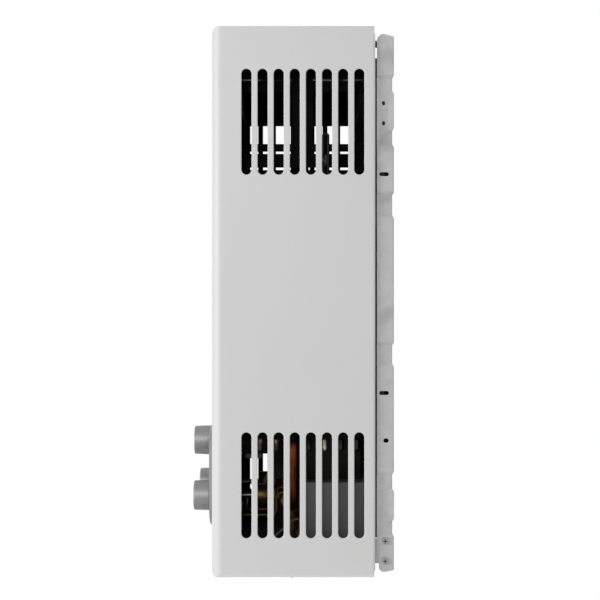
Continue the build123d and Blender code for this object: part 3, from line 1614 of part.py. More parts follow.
with BuildPart() as battery_cells:
    for spot in cell_spots:
        rod(Plane.XY.offset(cell_low_z), spot, cell_radius, cell_length - cell_cap_height)
        rod(Plane.XY.offset(cell_low_z), spot, cell_cap_radius, cell_length)
    rims = battery_cells.edges().filter_by(GeomType.CIRCLE)
    fillet(rims.filter_by(lambda edge: edge.radius > 2 * cell_cap_radius), cell_gap)
save(battery_cells, "battery_cells")

with BuildPart() as battery_contacts:
    for spot in cell_spots:
        half_strip = contact_width / 2
        strip_outs = (-spot[1] - half_strip, -spot[1] + half_strip)
        block((box_x - half_strip, box_x + half_strip), strip_outs, (ceiling_z - contact_sheet, ceiling_z))
save(battery_contacts, "battery_contacts")

with BuildPart() as battery_door:
    door_top_z = bottom_low_z - door_gap
    door_low_z = door_top_z - door_thickness
    door_zs = (door_low_z, door_top_z)
    door_outs = (box_rear_out - door_margin, box_front_out + door_margin)
    block((box_left - door_margin, box_right + door_margin), door_outs, door_zs)
    fillet(battery_door.edges().filter_by(Axis.Z), door_margin)
    barrel_xs = (box_x - hinge_barrel_length / 2, box_x + hinge_barrel_length / 2)
    block(barrel_xs, (box_front_out, hinge_out), door_zs)
    pad_xs = (inner_xs[0] + door_pad_gap, inner_xs[1] - door_pad_gap)
    block(pad_xs, (inner_outs[0] + door_pad_gap, inner_outs[1] - door_pad_gap),
          (door_top_z, cell_low_z - seat_gap))
    rod(Plane.YZ.offset(barrel_xs[0]), (-hinge_out, hinge_z), hinge_radius, hinge_barrel_length)
    pin_half = hinge_barrel_length / 2 + air_gap + hinge_ear_sheet
    rod(Plane.YZ.offset(box_x - pin_half), (-hinge_out, hinge_z), hinge_pin_radius, 2 * pin_half)
    # Finger grip across the free end
    with BuildSketch(Plane.XY.offset(door_low_z)):
        with Locations((box_x, -box_rear_out - door_grip_width)):
            SlotOverall(door_grip_length, door_grip_width)
    extrude(amount=door_grip_depth, mode=Mode.SUBTRACT)
save(battery_door, "battery_door")

# Igniter module on the back plate
igniter_z = -half_height + igniter_rise
igniter_front_out = plate_inner_out + seat_gap + igniter_depth
with BuildPart() as igniter_module:
    with BuildSketch(facing(plate_inner_out + seat_gap)):
        with Locations((igniter_x, igniter_z)):
            RectangleRounded(igniter_width, igniter_height, igniter_corner_radius)
    extrude(amount=igniter_depth)
    with BuildSketch(facing(igniter_front_out)):
        with Locations((igniter_x, igniter_z)):
            with GridLocations(igniter_rib_pitch, igniter_rib_pitch, 1, igniter_rib_count):
                Rectangle(igniter_width - igniter_rib_pitch, igniter_rib_width)
    extrude(amount=igniter_rib_depth)
    igniter_top_z = igniter_z + igniter_height / 2
    plug_out = plate_inner_out + igniter_depth / 2
    block(
        (igniter_x - igniter_plug_width / 2, igniter_x + igniter_plug_width / 2),
        (plug_out - igniter_plug_depth / 2, plug_out + igniter_plug_depth / 2),
        (igniter_top_z, igniter_top_z + igniter_plug_height),
    )
save(igniter_module, "igniter_module")


# Leads, each one run of wire with bends
def lead(points, bends):
    tube(points, bends, lead_radius, lead_radius)


igniter_right_x = igniter_x + igniter_width / 2
igniter_bottom_z = igniter_z - igniter_height / 2
plug_top_z = igniter_top_z + igniter_plug_height
electrode_front_out = chamber_outs[1] + electrode_back
lead_front_out = electrode_front_out + lead_bend + lead_radius
lead_wall_x = half_width - lead_wall_gap
with BuildPart() as wiring_leads:
    # Ignition and flame-sensing leads: up from the plug, forward along the left side, across the front
    for step, start_x, target_x in (
        (1, igniter_x + plug_spread / 2, electrode_x),
        (0, igniter_x - plug_spread / 2, sensor_x),
    ):
        run_z = plug_top_z + lead_rise + step * lead_step
        run_x = -lead_wall_x + (1 - step) * lead_step
        lead(
            [
                (start_x, -plug_out, plug_top_z),
                (start_x, -plug_out, run_z),
                (run_x, -plug_out, run_z),
                (run_x, -lead_front_out, run_z),
                (target_x, -lead_front_out, run_z),
                (target_x, -lead_front_out, electrode_z),
                (target_x, -electrode_front_out, electrode_z),
            ],
            lead_bend,
        )
    # Thermostat leads: one loops over its terminal, then both go down behind the works
    pin_x = thermostat_x + thermostat_height + thermostat_pin_length
    high_pin_z = thermostat_z + thermostat_pin_spacing / 2
    low_pin_z = thermostat_z - thermostat_pin_spacing / 2
    loop_out = thermostat_out - lead_step
    loop_low_z = thermostat_z - loop_drop
    thermostat_run_z = floor_z + thermostat_lead_rise
    far_out = loop_rear_out + lead_step
    lead(
        [
            (pin_x, -thermostat_out, high_pin_z),
            (lead_wall_x, -thermostat_out, high_pin_z),
            (lead_wall_x, -thermostat_out, high_pin_z + loop_height),
            (lead_wall_x, -loop_out, high_pin_z + loop_height),
            (lead_wall_x, -loop_out, loop_low_z),
            (lead_wall_x, -loop_rear_out, loop_low_z),
            (lead_wall_x, -loop_rear_out, thermostat_run_z),
            (igniter_right_x, -loop_rear_out, thermostat_run_z),
        ],
        loop_bend,
    )
    lead(
        [
            (pin_x, -thermostat_out, low_pin_z),
            (lead_wall_x, -thermostat_out, low_pin_z),
            (lead_wall_x, -thermostat_out, loop_low_z - lead_step),
            (lead_wall_x, -far_out, loop_low_z - lead_step),
            (lead_wall_x, -far_out, thermostat_run_z),
            (igniter_right_x, -far_out, thermostat_run_z),
        ],
        lead_bend,
    )
    # Battery lead: slants down from the box's front, runs across over the floor and up into the igniter
    battery_lead_x = box_left + battery_lead_inset
    entry_x = igniter_x - igniter_width / 2 + igniter_entry_inset
    low_run_z = floor_z + battery_lead_low
    slant_out = box_front_out + battery_lead_reach
    lead(
        [
            (battery_lead_x, -box_front_out, floor_z + battery_lead_rise),
            (battery_lead_x, -box_front_out - lead_step, floor_z + battery_lead_rise),
            (battery_lead_x, -slant_out, low_run_z),
            (entry_x, -slant_out, low_run_z),
            (entry_x, -plug_out, low_run_z),
            (entry_x, -plug_out, igniter_bottom_z),
        ],
        lead_bend,
    )
    # Micro switch and display leads, straight back to the igniter's right-hand face
    switch_mid_z = switch_low_z + switch_height / 2
    display_lead_z = display_z - display_lead_drop
    for start_x, start_out, run_z in (
        (switch_x + switch_lead_x, switch_outs[0], switch_mid_z),
        (-display_lead_x, casing_depth - display_module_depth, display_lead_z),
    ):
        lead(
            [
                (start_x, -start_out, run_z),
                (start_x, -plug_out, run_z),
                (igniter_right_x, -plug_out, run_z),
            ],
            lead_bend,
        )
    # Two leads that feed the display: over the cold pipe, down in front of it and across
    for step in range(2):
        feed_x = box_left + display_feed_inset + step * lead_step
        feed_z = floor_z + display_feed_rise - step * lead_step
        drop_z = feed_z - display_feed_drop
        turn_out = box_front_out + display_feed_reach
        cross_out = casing_depth - display_module_depth - display_feed_back + step * lead_step
        end_x = display_feed_x - step * lead_step
        lead(
            [
                (feed_x, -box_front_out, feed_z),
                (feed_x, -turn_out, feed_z),
                (feed_x, -turn_out, drop_z),
                (feed_x, -cross_out, drop_z),
                (end_x, -cross_out, drop_z),
                (end_x, -casing_depth + display_module_depth, drop_z),
            ],
            lead_bend,
        )
    # Solenoid lead, straight across to the igniter's face
    rod(
        facing(igniter_front_out),
        (solenoid_face_x - solenoid_length / 2, lower_knob_z),
        lead_radius,
        valve_out - solenoid_radius - igniter_front_out,
    )
save(wiring_leads, "wiring_leads")
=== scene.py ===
import json
import math

import bpy
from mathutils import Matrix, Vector


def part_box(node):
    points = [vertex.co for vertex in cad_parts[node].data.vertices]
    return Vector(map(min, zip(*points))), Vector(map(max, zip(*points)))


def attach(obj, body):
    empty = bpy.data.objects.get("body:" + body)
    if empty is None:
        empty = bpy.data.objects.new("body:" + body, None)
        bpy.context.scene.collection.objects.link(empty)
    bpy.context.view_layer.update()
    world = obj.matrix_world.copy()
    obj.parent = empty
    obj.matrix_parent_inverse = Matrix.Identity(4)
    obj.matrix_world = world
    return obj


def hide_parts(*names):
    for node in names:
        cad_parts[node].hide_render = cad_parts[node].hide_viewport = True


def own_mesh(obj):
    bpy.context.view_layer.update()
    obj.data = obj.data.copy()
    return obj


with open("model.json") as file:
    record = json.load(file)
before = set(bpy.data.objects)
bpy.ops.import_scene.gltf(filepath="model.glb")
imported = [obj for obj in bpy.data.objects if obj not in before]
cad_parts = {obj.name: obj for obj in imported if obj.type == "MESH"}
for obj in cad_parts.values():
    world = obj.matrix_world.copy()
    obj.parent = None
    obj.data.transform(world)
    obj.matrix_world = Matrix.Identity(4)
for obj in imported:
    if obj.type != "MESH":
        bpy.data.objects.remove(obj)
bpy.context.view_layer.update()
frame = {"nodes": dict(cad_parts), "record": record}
nodes = frame["nodes"]
print("loaded", len(nodes), "nodes")

# Camera: level, looking at the heater's right-hand side
imageSize = 600  # square
focalPixels = 1298.7
axisPixel = (285, 302)
sensorWidth = 36
cameraPlace = Vector((1.459, -0.1091, 0))

cameraData = bpy.data.cameras.new("camera")
cameraData.sensor_width = sensorWidth
cameraData.lens = sensorWidth * focalPixels / imageSize
cameraData.shift_x = (imageSize / 2 - axisPixel[0]) / imageSize
cameraData.shift_y = (axisPixel[1] - imageSize / 2) / imageSize
camera = bpy.data.objects.new("camera", cameraData)
camera.location = cameraPlace
camera.rotation_euler = (math.radians(90), 0, math.radians(90))
bpy.context.scene.collection.objects.link(camera)
bpy.context.scene.camera = camera
print("camera set")

# Light: a soft key from the front at mid-height, weaker lamps round the other sides, and an even sky.
# Only lamps that shine show in glossy surfaces.
skyStrength = 0.31
lights = {
    "key": {"place": (1.2, -2.1, 0.2), "size": 1.2, "power": 30, "shines": True},
    "side": {"place": (2.25, -0.45, 0.55), "size": 0.6, "power": 7.5, "shines": True},
    "low": {"place": (0.45, -0.3, -1.1), "aim": (0.45, -0.3, 0), "size": 0.6, "power": 2},
    "left": {"place": (-2.0, -1.3, 0.9), "size": 1.4, "power": 24},
    "rear": {"place": (0.1, 1.8, 1.7), "size": 1.4, "power": 30},
}
lightTarget = (0, -0.09, 0)


def addLight(name, spec):
    data = bpy.data.lights.new(name, "AREA")
    data.size = spec["size"]
    data.energy = spec["power"]
    lamp = bpy.data.objects.new(name, data)
    lamp.location = spec["place"]
    lamp.visible_glossy = spec.get("shines", False)
    aim = Vector(spec.get("aim", lightTarget)) - lamp.location
    lamp.rotation_euler = aim.to_track_quat("-Z", "Y").to_euler()
    bpy.context.scene.collection.objects.link(lamp)


def addMath(tree, operation, first, second):
    # A math node whose two inputs are sockets or plain values
    node = tree.nodes.new("ShaderNodeMath")
    node.operation = operation
    for place, value in enumerate((first, second)):
        if isinstance(value, (int, float)):
            node.inputs[place].default_value = value
        else:
            tree.links.new(value, node.inputs[place])
    return node.outputs[0]


def setWorld():
    # White where it is looked at, mirrored or seen through glass; plain sky light elsewhere
    world = bpy.data.worlds.new("studio")
    world.use_nodes = True
    tree = world.node_tree
    tree.nodes.clear()
    path = tree.nodes.new("ShaderNodeLightPath")
    seen = tree.nodes.new("ShaderNodeBackground")
    sky = tree.nodes.new("ShaderNodeBackground")
    mix = tree.nodes.new("ShaderNodeMixShader")
    out = tree.nodes.new("ShaderNodeOutputWorld")
    seen.inputs["Color"].default_value = (1, 1, 1, 1)
    sky.inputs["Color"].default_value = (1, 1, 1, 1)
    sky.inputs["Strength"].default_value = skyStrength
    mirrored = addMath(tree, "MAXIMUM", path.outputs["Is Glossy Ray"], path.outputs["Is Transmission Ray"])
    white = addMath(tree, "MAXIMUM", path.outputs["Is Camera Ray"], mirrored)
    tree.links.new(white, mix.inputs[0])
    tree.links.new(sky.outputs[0], mix.inputs[1])
    tree.links.new(seen.outputs[0], mix.inputs[2])
    tree.links.new(mix.outputs[0], out.inputs["Surface"])
    bpy.context.scene.world = world


for lightName, lightSpec in lights.items():
    addLight(lightName, lightSpec)
setWorld()
bpy.context.scene.view_settings.view_transform = "Standard"
print("light set")

# Shader groups shared by the materials
noiseDetail = {"mottle": 4, "patina": 6, "texture": 2}
noiseMiddle = 0.5


def newGroup(name, inputs, outputs):
    group = bpy.data.node_groups.new(name, "ShaderNodeTree")
    for label, kind, value in inputs:
        socket = group.interface.new_socket(label, in_out="INPUT", socket_type=kind)
        socket.default_value = value
    for label, kind in outputs:
        group.interface.new_socket(label, in_out="OUTPUT", socket_type=kind)
    return group, group.nodes.new("NodeGroupInput"), group.nodes.new("NodeGroupOutput")


def addNoise(tree, scale, stretch, detail):
    # Noise over the object's own space, squeezed along the axes where the stretch is above one
    place = tree.nodes.new("ShaderNodeTexCoord")
    squeeze = tree.nodes.new("ShaderNodeVectorMath")
    squeeze.operation = "MULTIPLY"
    noise = tree.nodes.new("ShaderNodeTexNoise")
    noise.inputs["Detail"].default_value = detail
    tree.links.new(place.outputs["Object"], squeeze.inputs[0])
    tree.links.new(stretch, squeeze.inputs[1])
    tree.links.new(squeeze.outputs[0], noise.inputs["Vector"])
    tree.links.new(scale, noise.inputs["Scale"])
    return noise.outputs["Fac"]


def makeMottle():
    # A colour that drifts lighter and darker over the surface, and a mask that goes with it
    group, start, end = newGroup(
        "mottle",
        [
            ("Colour", "NodeSocketColor", (0.5, 0.5, 0.5, 1)),
            ("Amount", "NodeSocketFloat", 0.1),
            ("Scale", "NodeSocketFloat", 20),
            ("Stretch", "NodeSocketVector", (1, 1, 1)),
        ],
        [("Colour", "NodeSocketColor"), ("Mask", "NodeSocketFloat")],
    )
    mask = addNoise(group, start.outputs["Scale"], start.outputs["Stretch"], noiseDetail["mottle"])
    drift = addMath(group, "SUBTRACT", mask, noiseMiddle)
    drift = addMath(group, "MULTIPLY", drift, start.outputs["Amount"])
    tint = group.nodes.new("ShaderNodeHueSaturation")
    group.links.new(addMath(group, "ADD", drift, 1), tint.inputs["Value"])
    group.links.new(start.outputs["Colour"], tint.inputs["Color"])
    group.links.new(tint.outputs["Color"], end.inputs["Colour"])
    group.links.new(mask, end.inputs["Mask"])
    return group


def makePatina():
    # A second colour in soft-edged patches: tarnish, soot, dust or heat tint
    group, start, end = newGroup(
        "patina",
        [
            ("Colour", "NodeSocketColor", (0.5, 0.5, 0.5, 1)),
            ("Second", "NodeSocketColor", (0.2, 0.2, 0.2, 1)),
            ("Scale", "NodeSocketFloat", 30),
            ("Stretch", "NodeSocketVector", (1, 1, 1)),
            ("From", "NodeSocketFloat", 0.45),
            ("To", "NodeSocketFloat", 0.75),
        ],
        [("Colour", "NodeSocketColor"), ("Mask", "NodeSocketFloat")],
    )
    noise = addNoise(group, start.outputs["Scale"], start.outputs["Stretch"], noiseDetail["patina"])
    edge = group.nodes.new("ShaderNodeMapRange")
    edge.interpolation_type = "SMOOTHSTEP"
    mix = group.nodes.new("ShaderNodeMix")
    mix.data_type = "RGBA"
    group.links.new(noise, edge.inputs["Value"])
    group.links.new(start.outputs["From"], edge.inputs["From Min"])
    group.links.new(start.outputs["To"], edge.inputs["From Max"])
    group.links.new(edge.outputs["Result"], mix.inputs["Factor"])
    group.links.new(start.outputs["Colour"], mix.inputs["A"])
    group.links.new(start.outputs["Second"], mix.inputs["B"])
    group.links.new(mix.outputs["Result"], end.inputs["Colour"])
    group.links.new(edge.outputs["Result"], end.inputs["Mask"])
    return group


def makeSpangle():
    # Crystal grains of hot-dip zinc, each a little lighter or darker than the next
    group, start, end = newGroup(
        "spangle",
        [
            ("Colour", "NodeSocketColor", (0.5, 0.5, 0.5, 1)),
            ("Amount", "NodeSocketFloat", 0.1),
            ("Scale", "NodeSocketFloat", 150),
        ],
        [("Colour", "NodeSocketColor")],
    )
    place = group.nodes.new("ShaderNodeTexCoord")
    cells = group.nodes.new("ShaderNodeTexVoronoi")
    split = group.nodes.new("ShaderNodeSeparateColor")
    tint = group.nodes.new("ShaderNodeHueSaturation")
    group.links.new(place.outputs["Object"], cells.inputs["Vector"])
    group.links.new(start.outputs["Scale"], cells.inputs["Scale"])
    group.links.new(cells.outputs["Color"], split.inputs["Color"])
    drift = addMath(group, "SUBTRACT", split.outputs["Red"], noiseMiddle)
    drift = addMath(group, "MULTIPLY", drift, start.outputs["Amount"])
    group.links.new(addMath(group, "ADD", drift, 1), tint.inputs["Value"])
    group.links.new(start.outputs["Colour"], tint.inputs["Color"])
    group.links.new(tint.outputs["Color"], end.inputs["Colour"])
    return group


def makeTexture():
    # A fine bump, drawn out along one axis where the stretch is above one
    group, start, end = newGroup(
        "texture",
        [
            ("Scale", "NodeSocketFloat", 900),
            ("Stretch", "NodeSocketVector", (1, 1, 1)),
            ("Strength", "NodeSocketFloat", 0.1),
            ("Depth", "NodeSocketFloat", 0.0002),
        ],
        [("Normal", "NodeSocketVector")],
    )
    height = addNoise(group, start.outputs["Scale"], start.outputs["Stretch"], noiseDetail["texture"])
    bump = group.nodes.new("ShaderNodeBump")
    group.links.new(height, bump.inputs["Height"])
    group.links.new(start.outputs["Strength"], bump.inputs["Strength"])
    group.links.new(start.outputs["Depth"], bump.inputs["Distance"])
    group.links.new(bump.outputs["Normal"], end.inputs["Normal"])
    return group


def makePolish():
    # A roughness that rises and falls with two masks
    group, start, end = newGroup(
        "polish",
        [
            ("Roughness", "NodeSocketFloat", 0.4),
            ("Vary", "NodeSocketFloat", 0.1),
            ("Mask", "NodeSocketFloat", 0.5),
            ("Dulled", "NodeSocketFloat", 0),
            ("Dulling", "NodeSocketFloat", 0.2),
        ],
        [("Roughness", "NodeSocketFloat")],
    )
    drift = addMath(group, "SUBTRACT", start.outputs["Mask"], noiseMiddle)
    drift = addMath(group, "MULTIPLY", drift, start.outputs["Vary"])
    dull = addMath(group, "MULTIPLY", start.outputs["Dulled"], start.outputs["Dulling"])
    total = addMath(group, "ADD", start.outputs["Roughness"], addMath(group, "ADD", drift, dull))
    group.links.new(total, end.inputs["Roughness"])
    return group


groups = {
    "mottle": makeMottle(),
    "patina": makePatina(),
    "spangle": makeSpangle(),
    "texture": makeTexture(),
    "polish": makePolish(),
}


def addGroup(tree, name, values):
    node = tree.nodes.new("ShaderNodeGroup")
    node.node_tree = groups[name]
    for label, value in values.items():
        if isinstance(value, bpy.types.NodeSocket):
            tree.links.new(value, node.inputs[label])
        else:
            node.inputs[label].default_value = value
    return node.outputs


def addDarkTop(tree, colour, look):
    # Darkens upwards between two heights
    place = tree.nodes.new("ShaderNodeTexCoord")
    split = tree.nodes.new("ShaderNodeSeparateXYZ")
    edge = tree.nodes.new("ShaderNodeMapRange")
    edge.interpolation_type = "SMOOTHSTEP"
    edge.inputs["From Min"].default_value = look["darkFrom"]
    edge.inputs["From Max"].default_value = look["darkTo"]
    mix = tree.nodes.new("ShaderNodeMix")
    mix.data_type = "RGBA"
    mix.inputs["B"].default_value = (*look["darkTop"], 1)
    tree.links.new(place.outputs["Object"], split.inputs["Vector"])
    tree.links.new(split.outputs["Z"], edge.inputs["Value"])
    tree.links.new(edge.outputs["Result"], mix.inputs["Factor"])
    tree.links.new(colour, mix.inputs["A"])
    return mix.outputs["Result"]


# Values for whatever a look leaves out
plainLook = {
    "metallic": 0, "specular": 0.5, "coat": 0, "coatRoughness": 0.1, "transmission": 0, "roughVary": 0.15,
    "mottle": 0.1, "mottleScale": 20, "stretch": (1, 1, 1), "dulling": 0.2, "grain": 0.1, "grainScale": 900,
    "secondScale": 30, "secondStretch": (1, 1, 1), "secondFrom": 0.45, "secondTo": 0.75,
}


def makeMaterial(name, ownLook):
    look = plainLook | ownLook
    material = bpy.data.materials.new(name)
    material.use_nodes = True
    tree = material.node_tree
    shader = tree.nodes["Principled BSDF"]
    shader.inputs["Metallic"].default_value = look["metallic"]
    shader.inputs["Specular IOR Level"].default_value = look["specular"]
    shader.inputs["Coat Weight"].default_value = look["coat"]
    shader.inputs["Coat Roughness"].default_value = look["coatRoughness"]
    shader.inputs["Transmission Weight"].default_value = look["transmission"]
    mottle = addGroup(tree, "mottle", {
        "Colour": (*look["colour"], 1),
        "Amount": look["mottle"],
        "Scale": look["mottleScale"],
        "Stretch": look["stretch"],
    })
    colour = mottle["Colour"]
    if "spangle" in look:
        colour = addGroup(tree, "spangle", {
            "Colour": colour,
            "Amount": look["spangle"],
            "Scale": look["spangleScale"],
        })["Colour"]
    polish = {
        "Roughness": look["roughness"],
        "Vary": look["roughVary"],
        "Mask": mottle["Mask"],
        "Dulling": look["dulling"],
    }
    if "second" in look:
        patina = addGroup(tree, "patina", {
            "Colour": colour,
            "Second": (*look["second"], 1),
            "Scale": look["secondScale"],
            "Stretch": look["secondStretch"],
            "From": look["secondFrom"],
            "To": look["secondTo"],
        })
        colour = patina["Colour"]
        polish["Dulled"] = patina["Mask"]
    if "darkFrom" in look:
        colour = addDarkTop(tree, colour, look)
    texture = addGroup(tree, "texture", {
        "Scale": look["grainScale"],
        "Stretch": look.get("grainStretch", look["stretch"]),
        "Strength": look["grain"],
    })
    tree.links.new(colour, shader.inputs["Base Color"])
    tree.links.new(addGroup(tree, "polish", polish)["Roughness"], shader.inputs["Roughness"])
    tree.links.new(texture["Normal"], shader.inputs["Normal"])
    return material


# One look for each of the record's material slots
looks = {
    "white_enamel": {
        "colour": (0.69, 0.69, 0.69), "roughness": 0.4, "roughVary": 0.12, "mottle": 0.03, "mottleScale": 9,
        "second": (0.672, 0.671, 0.665), "secondScale": 14, "secondFrom": 0.55, "secondTo": 0.85,
        "dulling": 0.05, "grain": 0.06, "grainScale": 420, "specular": 0.4, "coat": 0.06,
        "coatRoughness": 0.3,
    },
    "zinc_sheet": {
        "colour": (0.52, 0.52, 0.52), "metallic": 0.1, "roughness": 0.5, "mottle": 0.06, "mottleScale": 25,
        "spangle": 0.07, "spangleScale": 160, "second": (0.42, 0.42, 0.415), "secondScale": 35,
        "secondFrom": 0.55, "secondTo": 0.8, "grain": 0.08,
    },
    # Near black: painted shade for the unlit inside of the casing
    "hood_steel": {
        "colour": (0.004, 0.004, 0.004), "specular": 0.05, "roughness": 0.65, "mottle": 0.4,
        "mottleScale": 40, "second": (0.002, 0.002, 0.0019), "secondScale": 25, "grain": 0.15,
    },
    "screw_steel": {
        "colour": (0.34, 0.335, 0.325), "metallic": 0.85, "roughness": 0.3, "mottle": 0.15,
        "mottleScale": 300, "second": (0.16, 0.157, 0.15), "secondScale": 380, "secondFrom": 0.55,
        "secondTo": 0.75, "grainScale": 2500,
    },
    "stem_steel": {
        "colour": (0.45, 0.45, 0.45), "metallic": 0.9, "roughness": 0.3, "mottle": 0.1, "mottleScale": 120,
        "second": (0.25, 0.24, 0.23), "secondScale": 200, "secondFrom": 0.55, "grainStretch": (1, 12, 1),
    },
    # Near black: painted shade for the unlit inside of the casing, where the burner stands
    "stainless": {
        "colour": (0.012, 0.0105, 0.009), "specular": 0.1, "roughness": 0.55, "mottle": 0.25,
        "mottleScale": 60, "second": (0.005, 0.004, 0.0035), "secondScale": 28, "secondFrom": 0.4,
        "secondTo": 0.65, "grainStretch": (1, 1, 10),
    },
    "flue_metal": {
        "colour": (0.52, 0.52, 0.53), "metallic": 0.75, "roughness": 0.38, "mottle": 0.08, "mottleScale": 30,
        "stretch": (1, 1, 8), "second": (0.40, 0.385, 0.36), "secondScale": 20, "secondFrom": 0.5,
        "grainStretch": (1, 1, 18), "grain": 0.12,
    },
    "bezel_plastic": {
        "colour": (0.235, 0.235, 0.238), "metallic": 0.1, "roughness": 0.5, "mottle": 0.04, "mottleScale": 60,
        "second": (0.23, 0.23, 0.23), "secondScale": 45, "secondFrom": 0.55, "grain": 0.05,
        "grainScale": 2200,
    },
    "knob_plastic": {
        "colour": (0.27, 0.27, 0.272), "metallic": 0.75, "roughness": 0.44, "mottle": 0.06, "mottleScale": 90,
        "second": (0.21, 0.21, 0.21), "secondScale": 120, "secondFrom": 0.55, "grain": 0.08,
        "grainStretch": (1, 14, 1), "grainScale": 500,
    },
    "lens": {
        "colour": (0.015, 0.017, 0.02), "roughness": 0.1, "coat": 0.4, "mottle": 0.1, "roughVary": 0.06,
        "second": (0.03, 0.032, 0.034), "secondScale": 70, "secondFrom": 0.6, "grain": 0.01,
    },
    "sight_pane": {
        "colour": (0.75, 0.76, 0.75), "roughness": 0.06, "roughVary": 0.05, "transmission": 0.9,
        "mottle": 0.03, "second": (0.55, 0.5, 0.42), "secondScale": 90, "secondFrom": 0.6, "grain": 0.01,
    },
    "dark_plastic": {
        "colour": (0.085, 0.085, 0.088), "roughness": 0.5, "mottle": 0.15, "mottleScale": 40,
        "second": (0.10, 0.099, 0.098), "secondScale": 60, "grain": 0.2, "grainScale": 1400,
    },
    "black_plastic": {
        "colour": (0.02, 0.02, 0.02), "roughness": 0.45, "mottle": 0.15, "mottleScale": 50,
        "second": (0.028, 0.027, 0.026), "secondScale": 60, "grain": 0.2, "grainScale": 1400,
    },
    "copper": {
        "colour": (0.20, 0.06, 0.02), "metallic": 1, "roughness": 0.3, "mottle": 0.3, "mottleScale": 45,
        "second": (0.055, 0.016, 0.006), "secondScale": 38, "secondStretch": (1, 1, 0.5), "secondFrom": 0.38,
        "secondTo": 0.6, "grain": 0.06,
    },
    "brass": {
        "colour": (0.24, 0.155, 0.06), "metallic": 0.85, "roughness": 0.4, "mottle": 0.2, "mottleScale": 70,
        "second": (0.09, 0.058, 0.025), "secondScale": 60, "secondFrom": 0.42, "secondTo": 0.7, "grain": 0.08,
    },
    # Dark alloy: painted shade for the unlit inside of the casing
    "valve_alloy": {
        "colour": (0.07, 0.07, 0.07), "metallic": 0.3, "roughness": 0.6, "mottle": 0.2, "mottleScale": 80,
        "second": (0.04, 0.039, 0.038), "secondScale": 70, "grain": 0.35, "grainScale": 700,
    },
    "diaphragm_rubber": {"colour": (0.02, 0.02, 0.02), "roughness": 0.7, "mottle": 0.2, "mottleScale": 60},
    "drain_plastic": {
        "colour": (0.06, 0.06, 0.065), "roughness": 0.5, "mottle": 0.12, "mottleScale": 80,
        "second": (0.085, 0.084, 0.082), "secondScale": 90, "grain": 0.15,
    },
    "cell_wrap": {
        "colour": (0.05, 0.08, 0.14), "roughness": 0.3, "metallic": 0.2, "mottle": 0.1, "mottleScale": 50,
        "second": (0.09, 0.10, 0.12), "secondScale": 80, "secondFrom": 0.6,
    },
    "ceramic": {
        "colour": (0.70, 0.68, 0.63), "roughness": 0.4, "mottle": 0.1, "mottleScale": 80,
        "second": (0.40, 0.35, 0.29), "secondScale": 110, "secondFrom": 0.55,
    },
    "sensor_metal": {
        "colour": (0.05, 0.05, 0.05), "metallic": 0.6, "roughness": 0.45, "mottle": 0.15, "mottleScale": 120,
        "second": (0.025, 0.025, 0.025), "secondScale": 140,
    },
    "lead_sleeve": {
        "colour": (0.010, 0.010, 0.010), "specular": 0.12, "roughness": 0.55, "mottle": 0.15,
        "mottleScale": 100, "grain": 0.1,
    },
}
materials = {slot: makeMaterial(slot, look) for slot, look in looks.items()}
for part in frame["record"]["subparts"]:
    mesh = nodes[part["node"]].data
    mesh.materials.clear()
    mesh.materials.append(materials[part["material_slot"]])

# The cold pipe turns darker upwards between two heights near the burner
pipeDarkTop = {"darkTop": (0.006, 0.005, 0.004), "darkFrom": -0.152, "darkTo": -0.142}
nodes["cold_pipe"].data.materials[0] = makeMaterial("pipeCopper", looks["copper"] | pipeDarkTop)
print("materials set")


# Faces of the CAD pieces that have a second finish
def paintFaces(node, material, picked):
    mesh = nodes[node].data
    mesh.materials.append(material)
    faces = [face for face in mesh.polygons if picked(face)]
    for face in faces:
        face.material_index = len(mesh.materials) - 1
    print("painted", len(faces), "faces of", node)


# Inside of the cover: painted shade, a near-black colour on the faces that look inwards from the nearest wall
coverShadeLook = {
    "colour": (0.035, 0.035, 0.035), "specular": 0.2, "roughness": 0.75, "mottle": 0.4, "mottleScale": 30,
    "grain": 0.2,
}
inwardFacing = -0.3
coverLow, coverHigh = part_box("front_cover")


def insideCover(face):
    walls = (
        (coverHigh.x - face.center.x, Vector((1, 0, 0))),
        (face.center.x - coverLow.x, Vector((-1, 0, 0))),
        (face.center.y - coverLow.y, Vector((0, -1, 0))),
        (coverHigh.z - face.center.z, Vector((0, 0, 1))),
        (face.center.z - coverLow.z, Vector((0, 0, -1))),
    )
    nearest = min(walls, key=lambda wall: wall[0])
    return face.normal.dot(nearest[1]) < inwardFacing


paintFaces("front_cover", makeMaterial("coverShade", coverShadeLook), insideCover)

# Inside of the back plate and top of the bottom plate: painted shade, a near-black colour for the unlit
# inside of the casing
trayShadeLook = {
    "colour": (0.025, 0.025, 0.025), "specular": 0.05, "roughness": 0.8, "mottle": 0.3, "spangle": 0.2,
    "spangleScale": 160,
}
plateSheet = 0.0015
squareFacing = 0.5  # a face looks along an axis when its normal has more than this of it
plateLow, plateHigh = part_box("back_plate")


def insideTray(face):
    edge = min(plateHigh.x - face.center.x, face.center.x - plateLow.x)
    flange = face.normal.x * face.center.x < -squareFacing * abs(face.center.x) and edge > plateSheet / 2
    return flange or (face.normal.y < -squareFacing and edge > 2 * plateSheet)


def topOfPlate(face):
    return face.normal.z > squareFacing


trayShadePaint = makeMaterial("trayShade", trayShadeLook)
paintFaces("back_plate", trayShadePaint, insideTray)
paintFaces("bottom_plate", trayShadePaint, topOfPlate)
